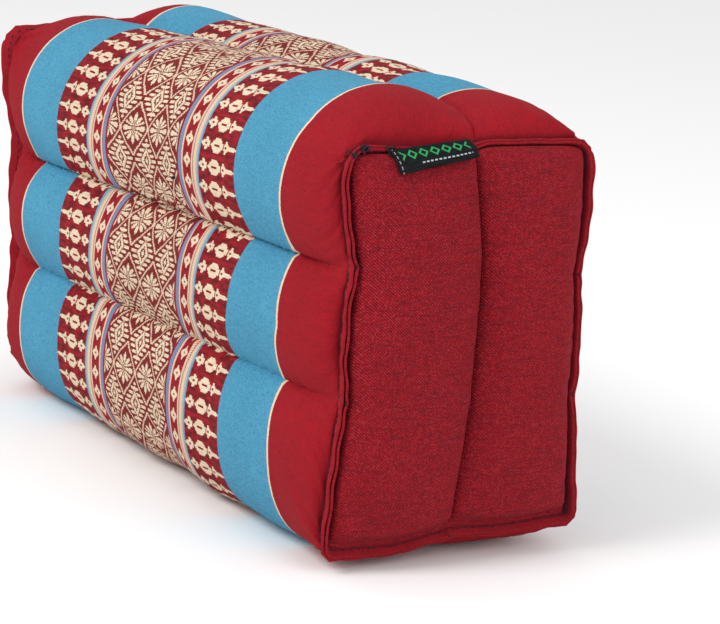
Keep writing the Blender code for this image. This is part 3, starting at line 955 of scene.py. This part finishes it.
def build_end_panel(end, material):
    """The red panel with its two lobes and its turned-out edge, as one sheet of cloth."""
    points = shape_panel(end)
    cloth_height = heights_on_cloth(points)
    seam, along, _, height, _ = end_seam(end)
    rim_place = {cell: index for index, cell in enumerate(rim_cells())}
    directions = turned_directions()
    on_back = np.clip(directions[:, 0], 0, 1) ** 2
    # Painted shade in the seam's groove, darker and reaching further up the lip at the back
    painted_shade = mix(*PANEL_PAINTED_SHADE, on_back)
    painted_shade_reach = mix(*PANEL_PAINTED_SHADE_REACH, on_back)
    bm, column_layer, row_layer, painted_shade_layer, lip_layer = cloth_grid(COLUMNS, ROWS, "painted_shade", "lip")

    def cell_of(corner):
        return corner[row_layer], corner[column_layer]

    for corner in bm.verts:
        corner.co = points[cell_of(corner)]
        if cell_of(corner) in rim_place:
            corner[painted_shade_layer] = painted_shade[rim_place[cell_of(corner)]]
            corner[lip_layer] = 0.5
    edges = [edge for edge in bm.edges if edge.is_boundary]
    for step in range(1, LIP_STEPS + 1):
        edges, corners = extrude_edge(bm, edges)
        for corner in corners:
            place = rim_place[cell_of(corner)]
            level = step / LIP_STEPS
            corner.co = seam[place] + along[place] * height[place] * level
            # The painted shade fades up the lip
            shade = float(np.clip(PANEL_PAINTED_SHADE_FALL * (1 - level / painted_shade_reach[place]), 0, 1))
            corner[painted_shade_layer] = painted_shade[place] * shade
            corner[lip_layer] = 1.0

    def flat_place(corner):
        """The lip's cloth goes on outwards from the rim, as far as a point stands off it."""
        cell = cell_of(corner)
        flat = Vector((points[cell][1], cloth_height[cell]))
        if cell in rim_place:
            flat += Vector(directions[rim_place[cell]]) * (corner.co - Vector(points[cell])).length
        return flat

    map_cloth(bm, flat_place)
    if end == "far":
        bmesh.ops.scale(bm, vec=(-1, 1, 1), verts=bm.verts)
        bmesh.ops.reverse_faces(bm, faces=bm.faces)
    bm.normal_update()
    piece = finish_piece(bm, "end_cloth_" + end, material)
    add_thickness(piece, "cloth", CLOTH, -1.0)
    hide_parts("end_panel_" + end)
    return piece


class Nodes:
    """Adds nodes to a tree and joins them up. Most of these hand back the new node's output."""

    def __init__(self, tree):
        self.tree = tree

    def add(self, kind, **settings):
        node = self.tree.nodes.new(kind)
        for name, value in settings.items():
            setattr(node, name, value)
        return node

    def feed(self, socket, value):
        if isinstance(value, bpy.types.NodeSocket):
            self.tree.links.new(value, socket)
        else:
            socket.default_value = value

    def made(self, kind, *values, **settings):
        """A node with its first sockets fed in order, as its outputs."""
        node = self.add(kind, **settings)
        for socket, value in zip(node.inputs, values):
            self.feed(socket, value)
        return node.outputs

    def calc(self, operation, *values):
        return self.made("ShaderNodeMath", *values, operation=operation)[0]

    def times(self, first, *others):
        for other in others:
            first = self.calc("MULTIPLY", first, other)
        return first

    def plus(self, first, second):
        return self.calc("ADD", first, second)

    def minus(self, first, second):
        return self.calc("SUBTRACT", first, second)

    def over(self, first, second):
        return self.calc("DIVIDE", first, second)

    def apart(self, first, second):
        """How far one value lies from another, either way."""
        return self.calc("ABSOLUTE", self.minus(first, second))

    def zigzag(self, value, reach):
        """A value that runs from 0 up to its reach and back again, over and over."""
        return self.calc("PINGPONG", value, reach)

    def below(self, value, limit):
        return self.calc("LESS_THAN", value, limit)

    def above(self, value, limit):
        return self.calc("GREATER_THAN", value, limit)

    def between(self, value, low, high):
        return self.times(self.above(value, low), self.below(value, high))

    def blend(self, share, first, second, mode="MIX"):
        node = self.add("ShaderNodeMix", data_type="RGBA", blend_type=mode)
        self.feed(node.inputs[0], share)
        self.feed(node.inputs[6], first)
        self.feed(node.inputs[7], second)
        return node.outputs[2]

    def ramp_to(self, value, low, high, to_low=0.0, to_high=1.0):
        return self.made("ShaderNodeMapRange", value, low, high, to_low, to_high)[0]

    def noise(self, vector, scale, detail=2.0, stretch=(1, 1, 1)):
        placed = self.add("ShaderNodeMapping")
        placed.inputs["Scale"].default_value = stretch
        self.feed(placed.inputs["Vector"], vector)
        node = self.add("ShaderNodeTexNoise")
        node.inputs["Scale"].default_value = scale
        node.inputs["Detail"].default_value = detail
        self.feed(node.inputs["Vector"], placed.outputs[0])
        return node.outputs[0]

    def group(self, tree, **values):
        node = self.add("ShaderNodeGroup", node_tree=tree)
        for name, value in values.items():
            self.feed(node.inputs[name], value)
        return node.outputs


def new_group(name, inputs, outputs):
    """A shader node group whose sockets are given as names and kinds, and the ends of it."""
    tree = bpy.data.node_groups.new(name, "ShaderNodeTree")
    for way, sockets in (("INPUT", inputs), ("OUTPUT", outputs)):
        for label, kind in sockets.items():
            tree.interface.new_socket(name=label, in_out=way, socket_type="NodeSocket" + kind)
    nodes = Nodes(tree)
    return nodes, nodes.add("NodeGroupInput").outputs, nodes.add("NodeGroupOutput").inputs


def chart_group(name, chart):
    """A group that says where a woven chart has a raised thread.

    Each row of the chart is held as one or two whole numbers, a bit for each thread, in the stops of a
    constant colour ramp.
    """
    nodes, given, out = new_group(name, {"Column": "Float", "Row": "Float"}, {"Mark": "Float"})
    column = nodes.calc("FLOOR", given["Column"])
    row = nodes.calc("FLOOR", given["Row"])
    ramp = nodes.add("ShaderNodeValToRGB")
    ramp.color_ramp.interpolation = "CONSTANT"
    stops = ramp.color_ramp.elements
    while len(stops) < len(chart):
        stops.new(1.0)
    for index, threads in enumerate(chart):
        numbers = []
        for start in (0, CHART_COLUMNS_A_NUMBER):
            part = threads[start:start + CHART_COLUMNS_A_NUMBER].ljust(CHART_COLUMNS_A_NUMBER, ".")
            number = sum(2.0 ** -(place_in + 1) for place_in, mark in enumerate(part) if mark == "#")
            numbers.append(number + 2.0 ** -(CHART_COLUMNS_A_NUMBER + 1))
        stops[index].position = index / len(chart)
        stops[index].color = (*numbers, 0, 1)
    nodes.feed(ramp.inputs[0], nodes.over(nodes.plus(row, 0.5), len(chart)))
    parts = nodes.made("ShaderNodeSeparateColor", ramp.outputs[0])
    second = nodes.above(column, CHART_COLUMNS_A_NUMBER - 0.5)
    number = nodes.plus(nodes.times(parts[0], nodes.minus(1.0, second)), nodes.times(parts[1], second))
    shift = nodes.minus(nodes.plus(column, 1.0), nodes.times(second, CHART_COLUMNS_A_NUMBER))
    shifted = nodes.times(number, nodes.calc("POWER", 2.0, shift))
    bit = nodes.calc("MODULO", nodes.calc("FLOOR", shifted), 2.0)
    inside = nodes.between(column, -0.5, len(chart[0]) - 0.5)
    nodes.feed(out["Mark"], nodes.times(bit, inside, nodes.below(row, len(chart) - 0.5)))
    return nodes.tree


def weave_group():
    """Threads over and under on a cloth map in metres, each with its own uneven tone."""
    nodes, given, out = new_group(
        "thread_weave", {"Cloth": "Vector", "Pitch": "Float", "Repeat": "Float"},
        dict.fromkeys(("Height", "Weft Over", "Weft", "Warp", "Slub", "Speck"), "Float"))
    across, around, _ = nodes.made("ShaderNodeSeparateXYZ", given["Cloth"])
    warp_place = nodes.over(across, given["Pitch"])
    weft_place = nodes.over(around, given["Pitch"])
    warp_number = nodes.calc("FLOOR", warp_place)
    weft_number = nodes.calc("FLOOR", weft_place)
    phase = nodes.calc("FLOORED_MODULO", nodes.plus(warp_number, weft_number), given["Repeat"])
    over = nodes.below(phase, 0.5)
    nodes.feed(out["Weft Over"], over)
    for name, along, number, length, seed in (
            ("Weft", across, weft_number, 0.0035, 3.5),
            ("Warp", around, warp_number, 0.0040, 9.5),
            ("Slub", across, weft_number, 0.010, 21.5)):
        thread = nodes.times(number, 0.731)
        place = nodes.made("ShaderNodeCombineXYZ", nodes.over(along, length), thread, seed)[0]
        nodes.feed(out[name], nodes.noise(place, 1.0, 1.0))
    crossing = nodes.made("ShaderNodeCombineXYZ", warp_number, weft_number)[0]
    speck = nodes.made("ShaderNodeTexWhiteNoise", crossing, noise_dimensions="2D")[0]
    nodes.feed(out["Speck"], speck)
    warp_round, weft_round = (nodes.calc("SINE", nodes.times(nodes.calc("FRACT", place), math.pi))
                              for place in (warp_place, weft_place))
    raised = nodes.times(over, nodes.minus(weft_round, warp_round))
    nodes.feed(out["Height"], nodes.plus(warp_round, raised))
    return nodes.tree


def worn_lip_and_painted_shade_group():
    """The worn lip, and painted shade in the groove at its foot, laid over a cloth's own colour."""
    nodes, given, out = new_group(
        "worn_lip_and_painted_shade",
        {"Cloth": "Vector", "Colour": "Color", "Dark": "Color", "Lip": "Float", "Groove": "Float"},
        {"Colour": "Color"})
    worn = nodes.ramp_to(nodes.noise(given["Cloth"], 900.0), 0.35, 0.7)
    colour = nodes.blend(given["Lip"], given["Colour"], nodes.blend(worn, LIP_RED, given["Dark"]))
    # Painted shade: the seam's groove darkened towards navy
    nodes.feed(out["Colour"], nodes.blend(nodes.times(given["Groove"], 0.85), colour, PANEL_NAVY))
    return nodes.tree


def thread_twist_group():
    """The uneven twist of sewing thread, and where its turns are paler."""
    nodes, given, out = new_group("thread_twist", {"Place": "Vector"}, {"Height": "Float", "Pale": "Float"})
    twist = nodes.noise(given["Place"], 1500.0)
    nodes.feed(out["Height"], twist)
    nodes.feed(out["Pale"], nodes.ramp_to(twist, 0.4, 0.65))
    return nodes.tree


def new_material(name, **values):
    """A material and its shader, with values for the shader's own sockets, where _ stands for a space."""
    material = bpy.data.materials.new(name)
    material.use_nodes = True
    shader = material.node_tree.nodes["Principled BSDF"]
    for socket, value in values.items():
        shader.inputs[socket.replace("_", " ")].default_value = value
    return material, shader


def start_material(name, roughness, sheen, sheen_tint, specular=0.08):
    material, shader = new_material(
        name, Roughness=roughness, Specular_IOR_Level=specular, Sheen_Weight=sheen, Sheen_Tint=sheen_tint,
        Sheen_Roughness=0.5)
    return material, Nodes(material.node_tree), shader


def cloth_map(nodes):
    """A piece's cloth map, and its two ways on their own."""
    cloth = nodes.add("ShaderNodeUVMap", uv_map="cloth").outputs[0]
    across, around, _ = nodes.made("ShaderNodeSeparateXYZ", cloth)
    return cloth, across, around


def mask_from(nodes, name):
    """A mask held by the piece's own points."""
    return nodes.add("ShaderNodeAttribute", attribute_name=name).outputs["Fac"]


def add_bump(nodes, shader, height, distance, strength=1.0):
    bump = nodes.add("ShaderNodeBump")
    bump.inputs["Strength"].default_value = strength
    bump.inputs["Distance"].default_value = distance
    nodes.feed(bump.inputs["Height"], height)
    nodes.feed(shader.inputs["Normal"], bump.outputs[0])


def woven_marks(nodes, charts, from_middle, rows, in_lattice):
    """Where cream threads float in the pattern, and where the lattice's diagonals run."""
    column = nodes.zigzag(nodes.over(from_middle, THREAD_ACROSS), LATTICE_COLUMNS)
    row = nodes.zigzag(nodes.plus(rows, LATTICE_ROWS), LATTICE_ROWS)
    lattice = nodes.group(charts["lattice"], Column=nodes.plus(column, 0.5), Row=nodes.plus(row, 0.5))[0]
    border_row = nodes.zigzag(rows, BORDER_ROWS)
    totem = nodes.group(
        charts["totem"], Row=border_row,
        Column=nodes.over(nodes.minus(from_middle, TOTEM_START), TOTEM_COLUMN))[0]
    from_lozenge = nodes.over(nodes.apart(from_middle, LOZENGE_MIDDLE), LOZENGE_COLUMN)
    lozenge = nodes.group(charts["lozenge"], Row=border_row, Column=nodes.plus(from_lozenge, 0.5))[0]
    marks = nodes.calc("MAXIMUM", nodes.times(lattice, in_lattice), nodes.calc("MAXIMUM", totem, lozenge))
    diagonal_column = nodes.times(nodes.minus(LATTICE_ROWS, row), DIAGONAL_SLOPE)
    diagonals = nodes.below(nodes.apart(column, diagonal_column), DIAGONAL_HALF)
    return marks, nodes.times(diagonals, in_lattice)


def ground_colours(nodes, side, cloth, fine, twist):
    """The pattern's grounds, stripes and plain fields, from the middle of the cloth out to its red ends."""
    mottle = nodes.noise(cloth, 330.0, 4.0, (0.5, 1.6, 1))
    uneven_weft = nodes.times(fine["Weft Over"], nodes.ramp_to(fine["Weft"], 0.40, 0.62))
    speck = nodes.ramp_to(fine["Speck"], 0.55, 1.0)
    red = nodes.blend(nodes.ramp_to(mottle, 0.42, 0.62), GROUND_RED, MAROON)
    maroon = nodes.blend(nodes.ramp_to(mottle, 0.38, 0.62), GROUND_RED, DARK_MAROON)
    sky = nodes.blend(nodes.calc("MULTIPLY_ADD", speck, 0.95, nodes.times(uneven_weft, 0.35)), SKY, DEEP_SKY)
    end_red = nodes.blend(nodes.calc("MULTIPLY_ADD", uneven_weft, 0.45, nodes.times(speck, 0.5)),
                          WRAP_RED, DEEP_RED)
    end_red = nodes.blend(nodes.ramp_to(fine["Slub"], 0.58, 0.72, 0.0, 0.25), end_red, DEEP_RED)
    # In the lattice the ground is darkened towards brown, painted shade of the cream floats over it
    colour = nodes.blend(nodes.above(side, LATTICE_EDGE), nodes.blend(0.6, red, LATTICE_SHADED_GROUND), red)
    for low, high, plain, turned in CORDS:
        colour = nodes.blend(nodes.between(side, low, high), colour, nodes.blend(twist, plain, turned))
    for low, high, field in (
            (TOTEM_START, SKY_START, maroon),
            (SKY_START, SKY_END, sky),
            (SKY_END, SKY_END + FIELD_LINE, CREAM_LINE),
            (SKY_END + FIELD_LINE, FURTHEST, end_red)):
        colour = nodes.blend(nodes.between(side, low, high), colour, field)
    return colour


def patterned_material(weave, worn_lip_and_painted_shade, charts):
    """The woven wrap: lattice, striped borders, totems, blue fields and red ends."""
    material, nodes, shader = start_material("patterned_cloth", 0.95, 0.02, (0.9, 0.6, 0.6, 1))
    cloth, across, around = cloth_map(nodes)
    from_middle = nodes.calc("ABSOLUTE", across)
    stray = nodes.calc("MULTIPLY_ADD", nodes.noise(cloth, 900.0, 1.0), 2 * EDGE_UNEVENNESS, -EDGE_UNEVENNESS)
    side = nodes.plus(from_middle, stray)
    rows = nodes.over(around, THREAD_ALONG)
    fine = nodes.group(weave, Cloth=cloth, Pitch=WRAP_PITCH, Repeat=2.0)
    turns = nodes.plus(nodes.times(around, TWIST_AROUND), nodes.times(across, TWIST_ACROSS))
    twist = nodes.ramp_to(nodes.calc("SINE", turns), -0.5, 0.7, 0.0, 0.8)
    marks, diagonals = woven_marks(nodes, charts, from_middle, rows, nodes.below(side, LATTICE_EDGE))
    # Between thread rows the cream floats darken: partly the ground showing between the rows, partly painted
    # shade of the rounded threads. Worn patches darken them at random.
    thread = nodes.calc("COSINE", nodes.times(rows, math.pi))
    between_picks = nodes.ramp_to(thread, 0.3, 1.0, 0.0, 0.45)
    worn = nodes.ramp_to(nodes.noise(cloth, 700.0, 2.0, (0.25, 2.0, 1)), 0.35, 0.75, 0.0, 0.6)
    floats = nodes.blend(nodes.calc("MAXIMUM", between_picks, worn), CREAM, SHADED_CREAM)
    floats = nodes.blend(nodes.times(diagonals, 0.35), floats, ROSE_CREAM)
    colour = nodes.blend(marks, ground_colours(nodes, side, cloth, fine, twist), floats)
    shade = nodes.ramp_to(nodes.noise(cloth, 22.0, 3.0), 0.3, 0.7, 0.93, 1.05)
    tint = nodes.made("ShaderNodeCombineColor", shade, shade, shade)[0]
    colour = nodes.blend(1.0, colour, tint, "MULTIPLY")
    lip = mask_from(nodes, "lip")
    # The worn lip, and painted shade in the seam's groove
    colour = nodes.group(worn_lip_and_painted_shade, Cloth=cloth, Colour=colour, Dark=DEEP_RED, Lip=nodes.times(lip, 0.6),
                         Groove=mask_from(nodes, "painted_shade"))[0]
    nodes.feed(shader.inputs["Base Color"], colour)
    nodes.feed(shader.inputs["Roughness"], nodes.ramp_to(marks, 0.0, 1.0, 0.88, 0.72))
    fine_height = nodes.times(fine["Height"], nodes.ramp_to(lip, 0.0, 1.0, 0.22, 0.04))
    height = nodes.calc("MULTIPLY_ADD", marks, 0.7, fine_height)
    height = nodes.plus(height, nodes.times(thread, marks, 0.12))
    add_bump(nodes, shader, height, 0.00035, 0.8)
    return material


def panel_material(weave, worn_lip_and_painted_shade):
    """Red cloth shot with navy threads, in a fine twill with slubs."""
    material, nodes, shader = start_material("red_cloth", 0.95, 0.02, (1.0, 0.45, 0.45, 1))
    cloth, _, _ = cloth_map(nodes)
    fine = nodes.group(weave, Cloth=cloth, Pitch=PANEL_PITCH, Repeat=3.0)
    speck = nodes.ramp_to(fine["Speck"], 0.45, 1.0)
    uneven_warp = nodes.ramp_to(fine["Warp"], 0.5, 0.7, 0.0, 0.3)
    warp = nodes.blend(nodes.calc("MULTIPLY_ADD", speck, 0.7, uneven_warp), PANEL_RED, PANEL_DEEP_RED)
    warp = nodes.blend(nodes.ramp_to(fine["Speck"], 0.40, 0.0, 0.0, 0.7), warp, PANEL_ROSE)
    weft = nodes.blend(nodes.ramp_to(fine["Weft"], 0.30, 0.52), PANEL_DEEP_RED, PANEL_NAVY)
    colour = nodes.blend(fine["Weft Over"], warp, weft)
    colour = nodes.blend(nodes.ramp_to(fine["Slub"], 0.58, 0.70, 0.0, 0.42), colour, PANEL_NAVY)
    broad = nodes.ramp_to(nodes.noise(cloth, 16.0, 3.0), 0.35, 0.7, 0.0, 0.3)
    colour = nodes.blend(broad, colour, PANEL_DEEP_RED)
    lip = mask_from(nodes, "lip")
    # The worn lip, and painted shade in the seam's groove
    colour = nodes.group(worn_lip_and_painted_shade, Cloth=cloth, Colour=colour, Dark=PANEL_DEEP_RED,
                         Lip=nodes.times(lip, 0.75), Groove=mask_from(nodes, "painted_shade"))[0]
    nodes.feed(shader.inputs["Base Color"], colour)
    height = nodes.times(nodes.plus(fine["Height"], fine["Slub"]), nodes.ramp_to(lip, 0.0, 1.0, 1.0, 0.2))
    add_bump(nodes, shader, height, 0.0002, 0.7)
    return material


def label_material(weave):
    """Black woven tape with fine ribs, a row of small green lozenges and a broken grey line."""
    material, nodes, shader = start_material("black_tape", 0.8, 0.0, (1, 1, 1, 1), specular=0.12)
    cloth, across, down = cloth_map(nodes)
    fine = nodes.group(weave, Cloth=cloth, Pitch=TAPE_PITCH, Repeat=2.0)
    base = nodes.blend(nodes.ramp_to(fine["Weft"], 0.35, 0.7), TAPE_BLACK, TAPE_SOOT)

    def dashes(along, length, dash, aside, width):
        """A broken line: dashes along one way, kept to a narrow strip the other way."""
        return nodes.times(nodes.below(nodes.zigzag(along, length), dash), nodes.below(aside, width))

    repeat = nodes.zigzag(nodes.minus(across, LOZENGES_START), LABEL_LOZENGE / 2)
    lozenge = nodes.over(nodes.plus(repeat, nodes.apart(down, LOZENGE_LINE)), LOZENGE_HALF)
    lozenges_end = LOZENGES_START + LOZENGE_COUNT * LABEL_LOZENGE
    in_row = nodes.between(across, LOZENGES_START, lozenges_end)
    colour = nodes.blend(nodes.times(nodes.between(lozenge, 0.55, 1.0), in_row), base, TAPE_GREEN)
    line = nodes.times(dashes(across, 0.0009, 0.00055, nodes.apart(down, BROKEN_LINE), 0.00028),
                       nodes.between(across, BROKEN_LINE_START, lozenges_end))
    colour = nodes.blend(line, colour, TAPE_GREY)
    hem = dashes(down, 0.0010, 0.0006, nodes.apart(across, HEM_LINE), 0.0002)
    colour = nodes.blend(nodes.times(hem, 0.6), colour, TAPE_GREY)
    nodes.feed(shader.inputs["Base Color"], colour)
    rib = nodes.calc("SINE", nodes.times(down, 2 * math.pi / RIB))
    add_bump(nodes, shader, nodes.plus(nodes.times(rib, 0.3), fine["Height"]), 0.0002, 0.6)
    return material


def thread_material(name, twist, dark, pale):
    """Twisted sewing thread."""
    material, nodes, shader = start_material(name, 0.7, 0.05, (1, 1, 1, 1))
    turns = nodes.group(twist, Place=nodes.add("ShaderNodeTexCoord").outputs["Object"])
    nodes.feed(shader.inputs["Base Color"], nodes.blend(turns["Pale"], dark, pale))
    add_bump(nodes, shader, turns["Height"], 0.0002, 0.8)
    return material


def build_label(material):
    """The folded tab in front of the near panel's top lip, lying over the front lobe's shoulder."""
    bm, column_layer, row_layer = cloth_grid(LABEL_COLUMNS, LABEL_ROWS)

    def shares(corner):
        """How far along the label and down it a point lies."""
        return corner[column_layer] / LABEL_COLUMNS, 1 - corner[row_layer] / LABEL_ROWS

    for corner in bm.verts:
        along, down = shares(corner)
        place = mix(mix(LABEL_TOP_LEFT, LABEL_TOP_RIGHT, along),
                    mix(LABEL_BOTTOM_LEFT, LABEL_BOTTOM_RIGHT, along), down)
        bulge = LABEL_BULGE * 4 * down * (1 - down)
        curl = LABEL_CURL * math.sin(math.pi * 3.3 * along + 0.6) * down
        corner.co = place + (bulge + curl, 0, bulge)
    map_cloth(bm, lambda corner: np.multiply(shares(corner), (LABEL_WIDTH, LABEL_DROP)))
    piece = finish_piece(bm, "woven_label", material)
    add_thickness(piece, "two layers", LABEL_THICKNESS, 0.0)
    soften = piece.modifiers.new("folded edge", "BEVEL")
    soften.width = 0.0003
    soften.segments = 2
    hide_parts("label")
    return piece


def add_stitch(bm, place, along, up, length, radius):
    """One stitch as a flat little bead of thread along the given direction."""
    along = Vector(along).normalized()
    up = Vector(up).normalized()
    side = along.cross(up).normalized()
    up = side.cross(along)
    turn = Matrix((along, side, up)).transposed().to_4x4()
    size = Matrix.Diagonal((length / 2, radius, radius, 1.0))
    bmesh.ops.create_uvsphere(
        bm, u_segments=6, v_segments=4, radius=1.0, matrix=Matrix.Translation(Vector(place)) @ turn @ size)


def lip_stitches(end, material):
    """Running stitches through the turned edge, showing on the wrap's side and along the panel's seam."""
    seam, rise, through, cloth = placed_lip(end)
    outer = seam + through * (2 * cloth + PIECE_GAP)
    inner = seam - through * 0.00005
    run, _ = ring_run(outer)
    shapes = np.random.default_rng(71)
    bm = bmesh.new()
    place = 0.0
    while place < run[-1]:
        index = int(np.searchsorted(run, place))
        ahead = outer[(index + 2) % RIM_STEPS] - outer[index]
        level = LIP_STITCH_HEIGHT + shapes.uniform(-0.05, 0.05)
        add_stitch(bm, outer[index] + rise[index] * level + through[index] * 0.0001, ahead, through[index],
                   shapes.uniform(*LIP_STITCH_LENGTH), LIP_THREAD)
        add_stitch(bm, inner[index] + rise[index] * SEAM_STITCH_HEIGHT, ahead, through[index],
                   shapes.uniform(*SEAM_STITCH_LENGTH), SEAM_THREAD)
        place += shapes.uniform(*LIP_STITCH_STEP)
    return finish_piece(bm, "lip_stitches_" + end, material)


def channel_stitches(points, material):
    """Short stitches that pull the two rolls together, deep in each channel."""
    shapes = np.random.default_rng(72)
    bm = bmesh.new()
    for name, place in channel_places().items():
        inward = Vector((0, *CHANNELS[name][2]))
        across = Vector((0, inward.z, -inward.y))
        run = points[LIP_STEPS + 4:-LIP_STEPS - 4, place]
        x = -CHANNEL_STITCH_LIMIT
        while x < CHANNEL_STITCH_LIMIT:
            centre = Vector(run[int(np.argmin(np.abs(run[:, 0] - x)))]) - inward * 0.0003
            if centre.z > 0.001:
                add_stitch(bm, centre, across + Vector((shapes.uniform(0.2, 0.7), 0, 0)), -inward,
                           shapes.uniform(*CHANNEL_STITCH_LENGTH), CHANNEL_THREAD)
            x += shapes.uniform(*CHANNEL_STITCH_STEP)
    return finish_piece(bm, "channel_stitches", material)


def add_thread(bm, route, radius):
    """A fine round thread along a route of points."""

    def frame_at(index):
        ahead = route[min(index + 1, len(route) - 1)] - route[max(index - 1, 0)]
        return Matrix.Translation(route[index]) @ ahead.to_track_quat("Z", "Y").to_matrix().to_4x4()

    ring = bmesh.ops.create_circle(bm, cap_ends=True, segments=5, radius=radius, matrix=frame_at(0))["verts"]
    edges = list(ring[0].link_faces[0].edges)
    for index in range(1, len(route)):
        edges, corners = extrude_edge(bm, edges)
        bmesh.ops.transform(bm, matrix=frame_at(index) @ frame_at(index - 1).inverted(), verts=corners)
    bmesh.ops.contextual_create(bm, geom=edges)


def add_knot(bm, place, size, shapes):
    """A tight knot of thread with two short ends standing out of it."""
    place = Vector(place)
    tilt = Vector(shapes.uniform(-1, 1, 3)).normalized()
    side = tilt.orthogonal().normalized()
    other = tilt.cross(side)
    route = []
    for step in range(23):
        turn = 2 * math.pi * 2.3 * step / 22
        reach = size * (0.75 + 0.35 * math.cos(turn * 1.5 + shapes.uniform(0, 0.3)))
        route.append(place + side * (reach * math.cos(turn)) + other * (reach * math.sin(turn))
                     + tilt * (size * 0.5 * math.sin(turn * 0.75)))
    for start in (route[0], route[-1]):
        stray = Vector((shapes.uniform(0.1, 1), shapes.uniform(-1, 0.2), shapes.uniform(-1, 0.6)))
        stray.normalize()
        bend = Vector(shapes.uniform(-0.5, 0.5, 3))
        reach = size * shapes.uniform(1.2, 2.6)
        loose = [start + (stray + bend * (step / 6)) * (reach * step / 6) for step in range(7)]
        add_thread(bm, loose, size * 0.22)
    add_thread(bm, route, size * 0.30)


def thread_knots(points, material):
    """Knots where the near lip's sewing starts and ends, and the one on the front's upper roll."""
    seam, along, through, height, cloth = end_seam("near")
    tip = seam + along * height + through * cloth
    corner = rim_cells().index((ROWS, 0))
    shapes = np.random.default_rng(73)
    bm = bmesh.new()
    for step, size in KNOTS:
        add_knot(bm, tip[corner + step] + along[corner + step] * KNOT_LIFT, size, shapes)
    for place in channel_places().values():
        add_knot(bm, tip[place] - through[place] * 0.0005, CHANNEL_KNOT, shapes)
    add_knot(bm, points[LONE_KNOT] + surface_normals(points)[LONE_KNOT] * KNOT_LIFT, LONE_KNOT_SIZE, shapes)
    bmesh.ops.recalc_face_normals(bm, faces=bm.faces)
    return finish_piece(bm, "thread_knots", material)


def build_floor():
    bm = bmesh.new()
    bmesh.ops.create_grid(bm, x_segments=1, y_segments=1, size=6)
    bmesh.ops.translate(bm, vec=(0, 0, -0.0004), verts=bm.verts)
    material, _ = new_material("pale_floor", Base_Color=FLOOR_WHITE, Roughness=0.9)
    floor = new_object(bm, "floor", material)


def place_camera():
    back = Vector((math.sin(YAW) * math.cos(PITCH), -math.cos(YAW) * math.cos(PITCH), math.sin(PITCH)))
    right = Vector((math.cos(YAW), math.sin(YAW), 0))
    up = back.cross(right)
    turned_right = right * math.cos(ROLL) + up * math.sin(ROLL)
    turned_up = up * math.cos(ROLL) - right * math.sin(ROLL)
    camera = bpy.data.cameras.new("camera")
    camera.lens = LENS
    camera.sensor_width = SENSOR
    camera.clip_start = 0.01
    holder = bpy.data.objects.new("camera", camera)
    place = TARGET + back * DISTANCE - turned_right * SIDE_SHIFT - turned_up * RISE_SHIFT
    turn = Matrix((turned_right, turned_up, back)).transposed().to_4x4()
    holder.matrix_world = Matrix.Translation(place) @ turn
    bpy.context.scene.collection.objects.link(holder)
    bpy.context.scene.camera = holder


def light_studio():
    world = bpy.data.worlds.new("studio")
    world.use_nodes = True
    background = world.node_tree.nodes["Background"]
    background.inputs[0].default_value = (1, 1, 1, 1)
    background.inputs[1].default_value = SKY_LIGHT
    bpy.context.scene.world = world
    bpy.context.scene.view_settings.view_transform = "Standard"
    for name, place, size, power in LIGHTS:
        light = bpy.data.lights.new(name, "AREA")
        light.shape = "DISK"
        light.size = size
        light.energy = power
        holder = bpy.data.objects.new(name, light)
        holder.location = place
        holder.rotation_euler = (LIGHTS_AIM - Vector(place)).to_track_quat("-Z", "Y").to_euler()
        bpy.context.scene.collection.objects.link(holder)


def main():
    weave = weave_group()
    worn_lip_and_painted_shade = worn_lip_and_painted_shade_group()
    twist = thread_twist_group()
    charts = {name: chart_group(name + "_chart", chart) for name, chart in (
        ("lattice", LATTICE_CHART), ("totem", TOTEM_CHART), ("lozenge", LOZENGE_CHART))}
    patterned = patterned_material(weave, worn_lip_and_painted_shade, charts)
    red = panel_material(weave, worn_lip_and_painted_shade)
    tape = label_material(weave)
    dark_thread = thread_material("dark_thread", twist, INK, PALE_INK)
    red_thread = thread_material("red_thread", twist, RED_THREAD, PALE_RED_THREAD)
    plain = wrap_surface()
    flat = cloth_places(plain)
    points = shape_cloth(plain)
    for span in roll_spans():
        build_roll(span, points, flat, patterned)
    for end in ("near", "far"):
        panel = build_end_panel(end, red)
        lip_stitches(end, dark_thread)
    build_label(tape)
    channel_stitches(points, red_thread)
    thread_knots(points, dark_thread)
    build_floor()
    place_camera()
    light_studio()


main()
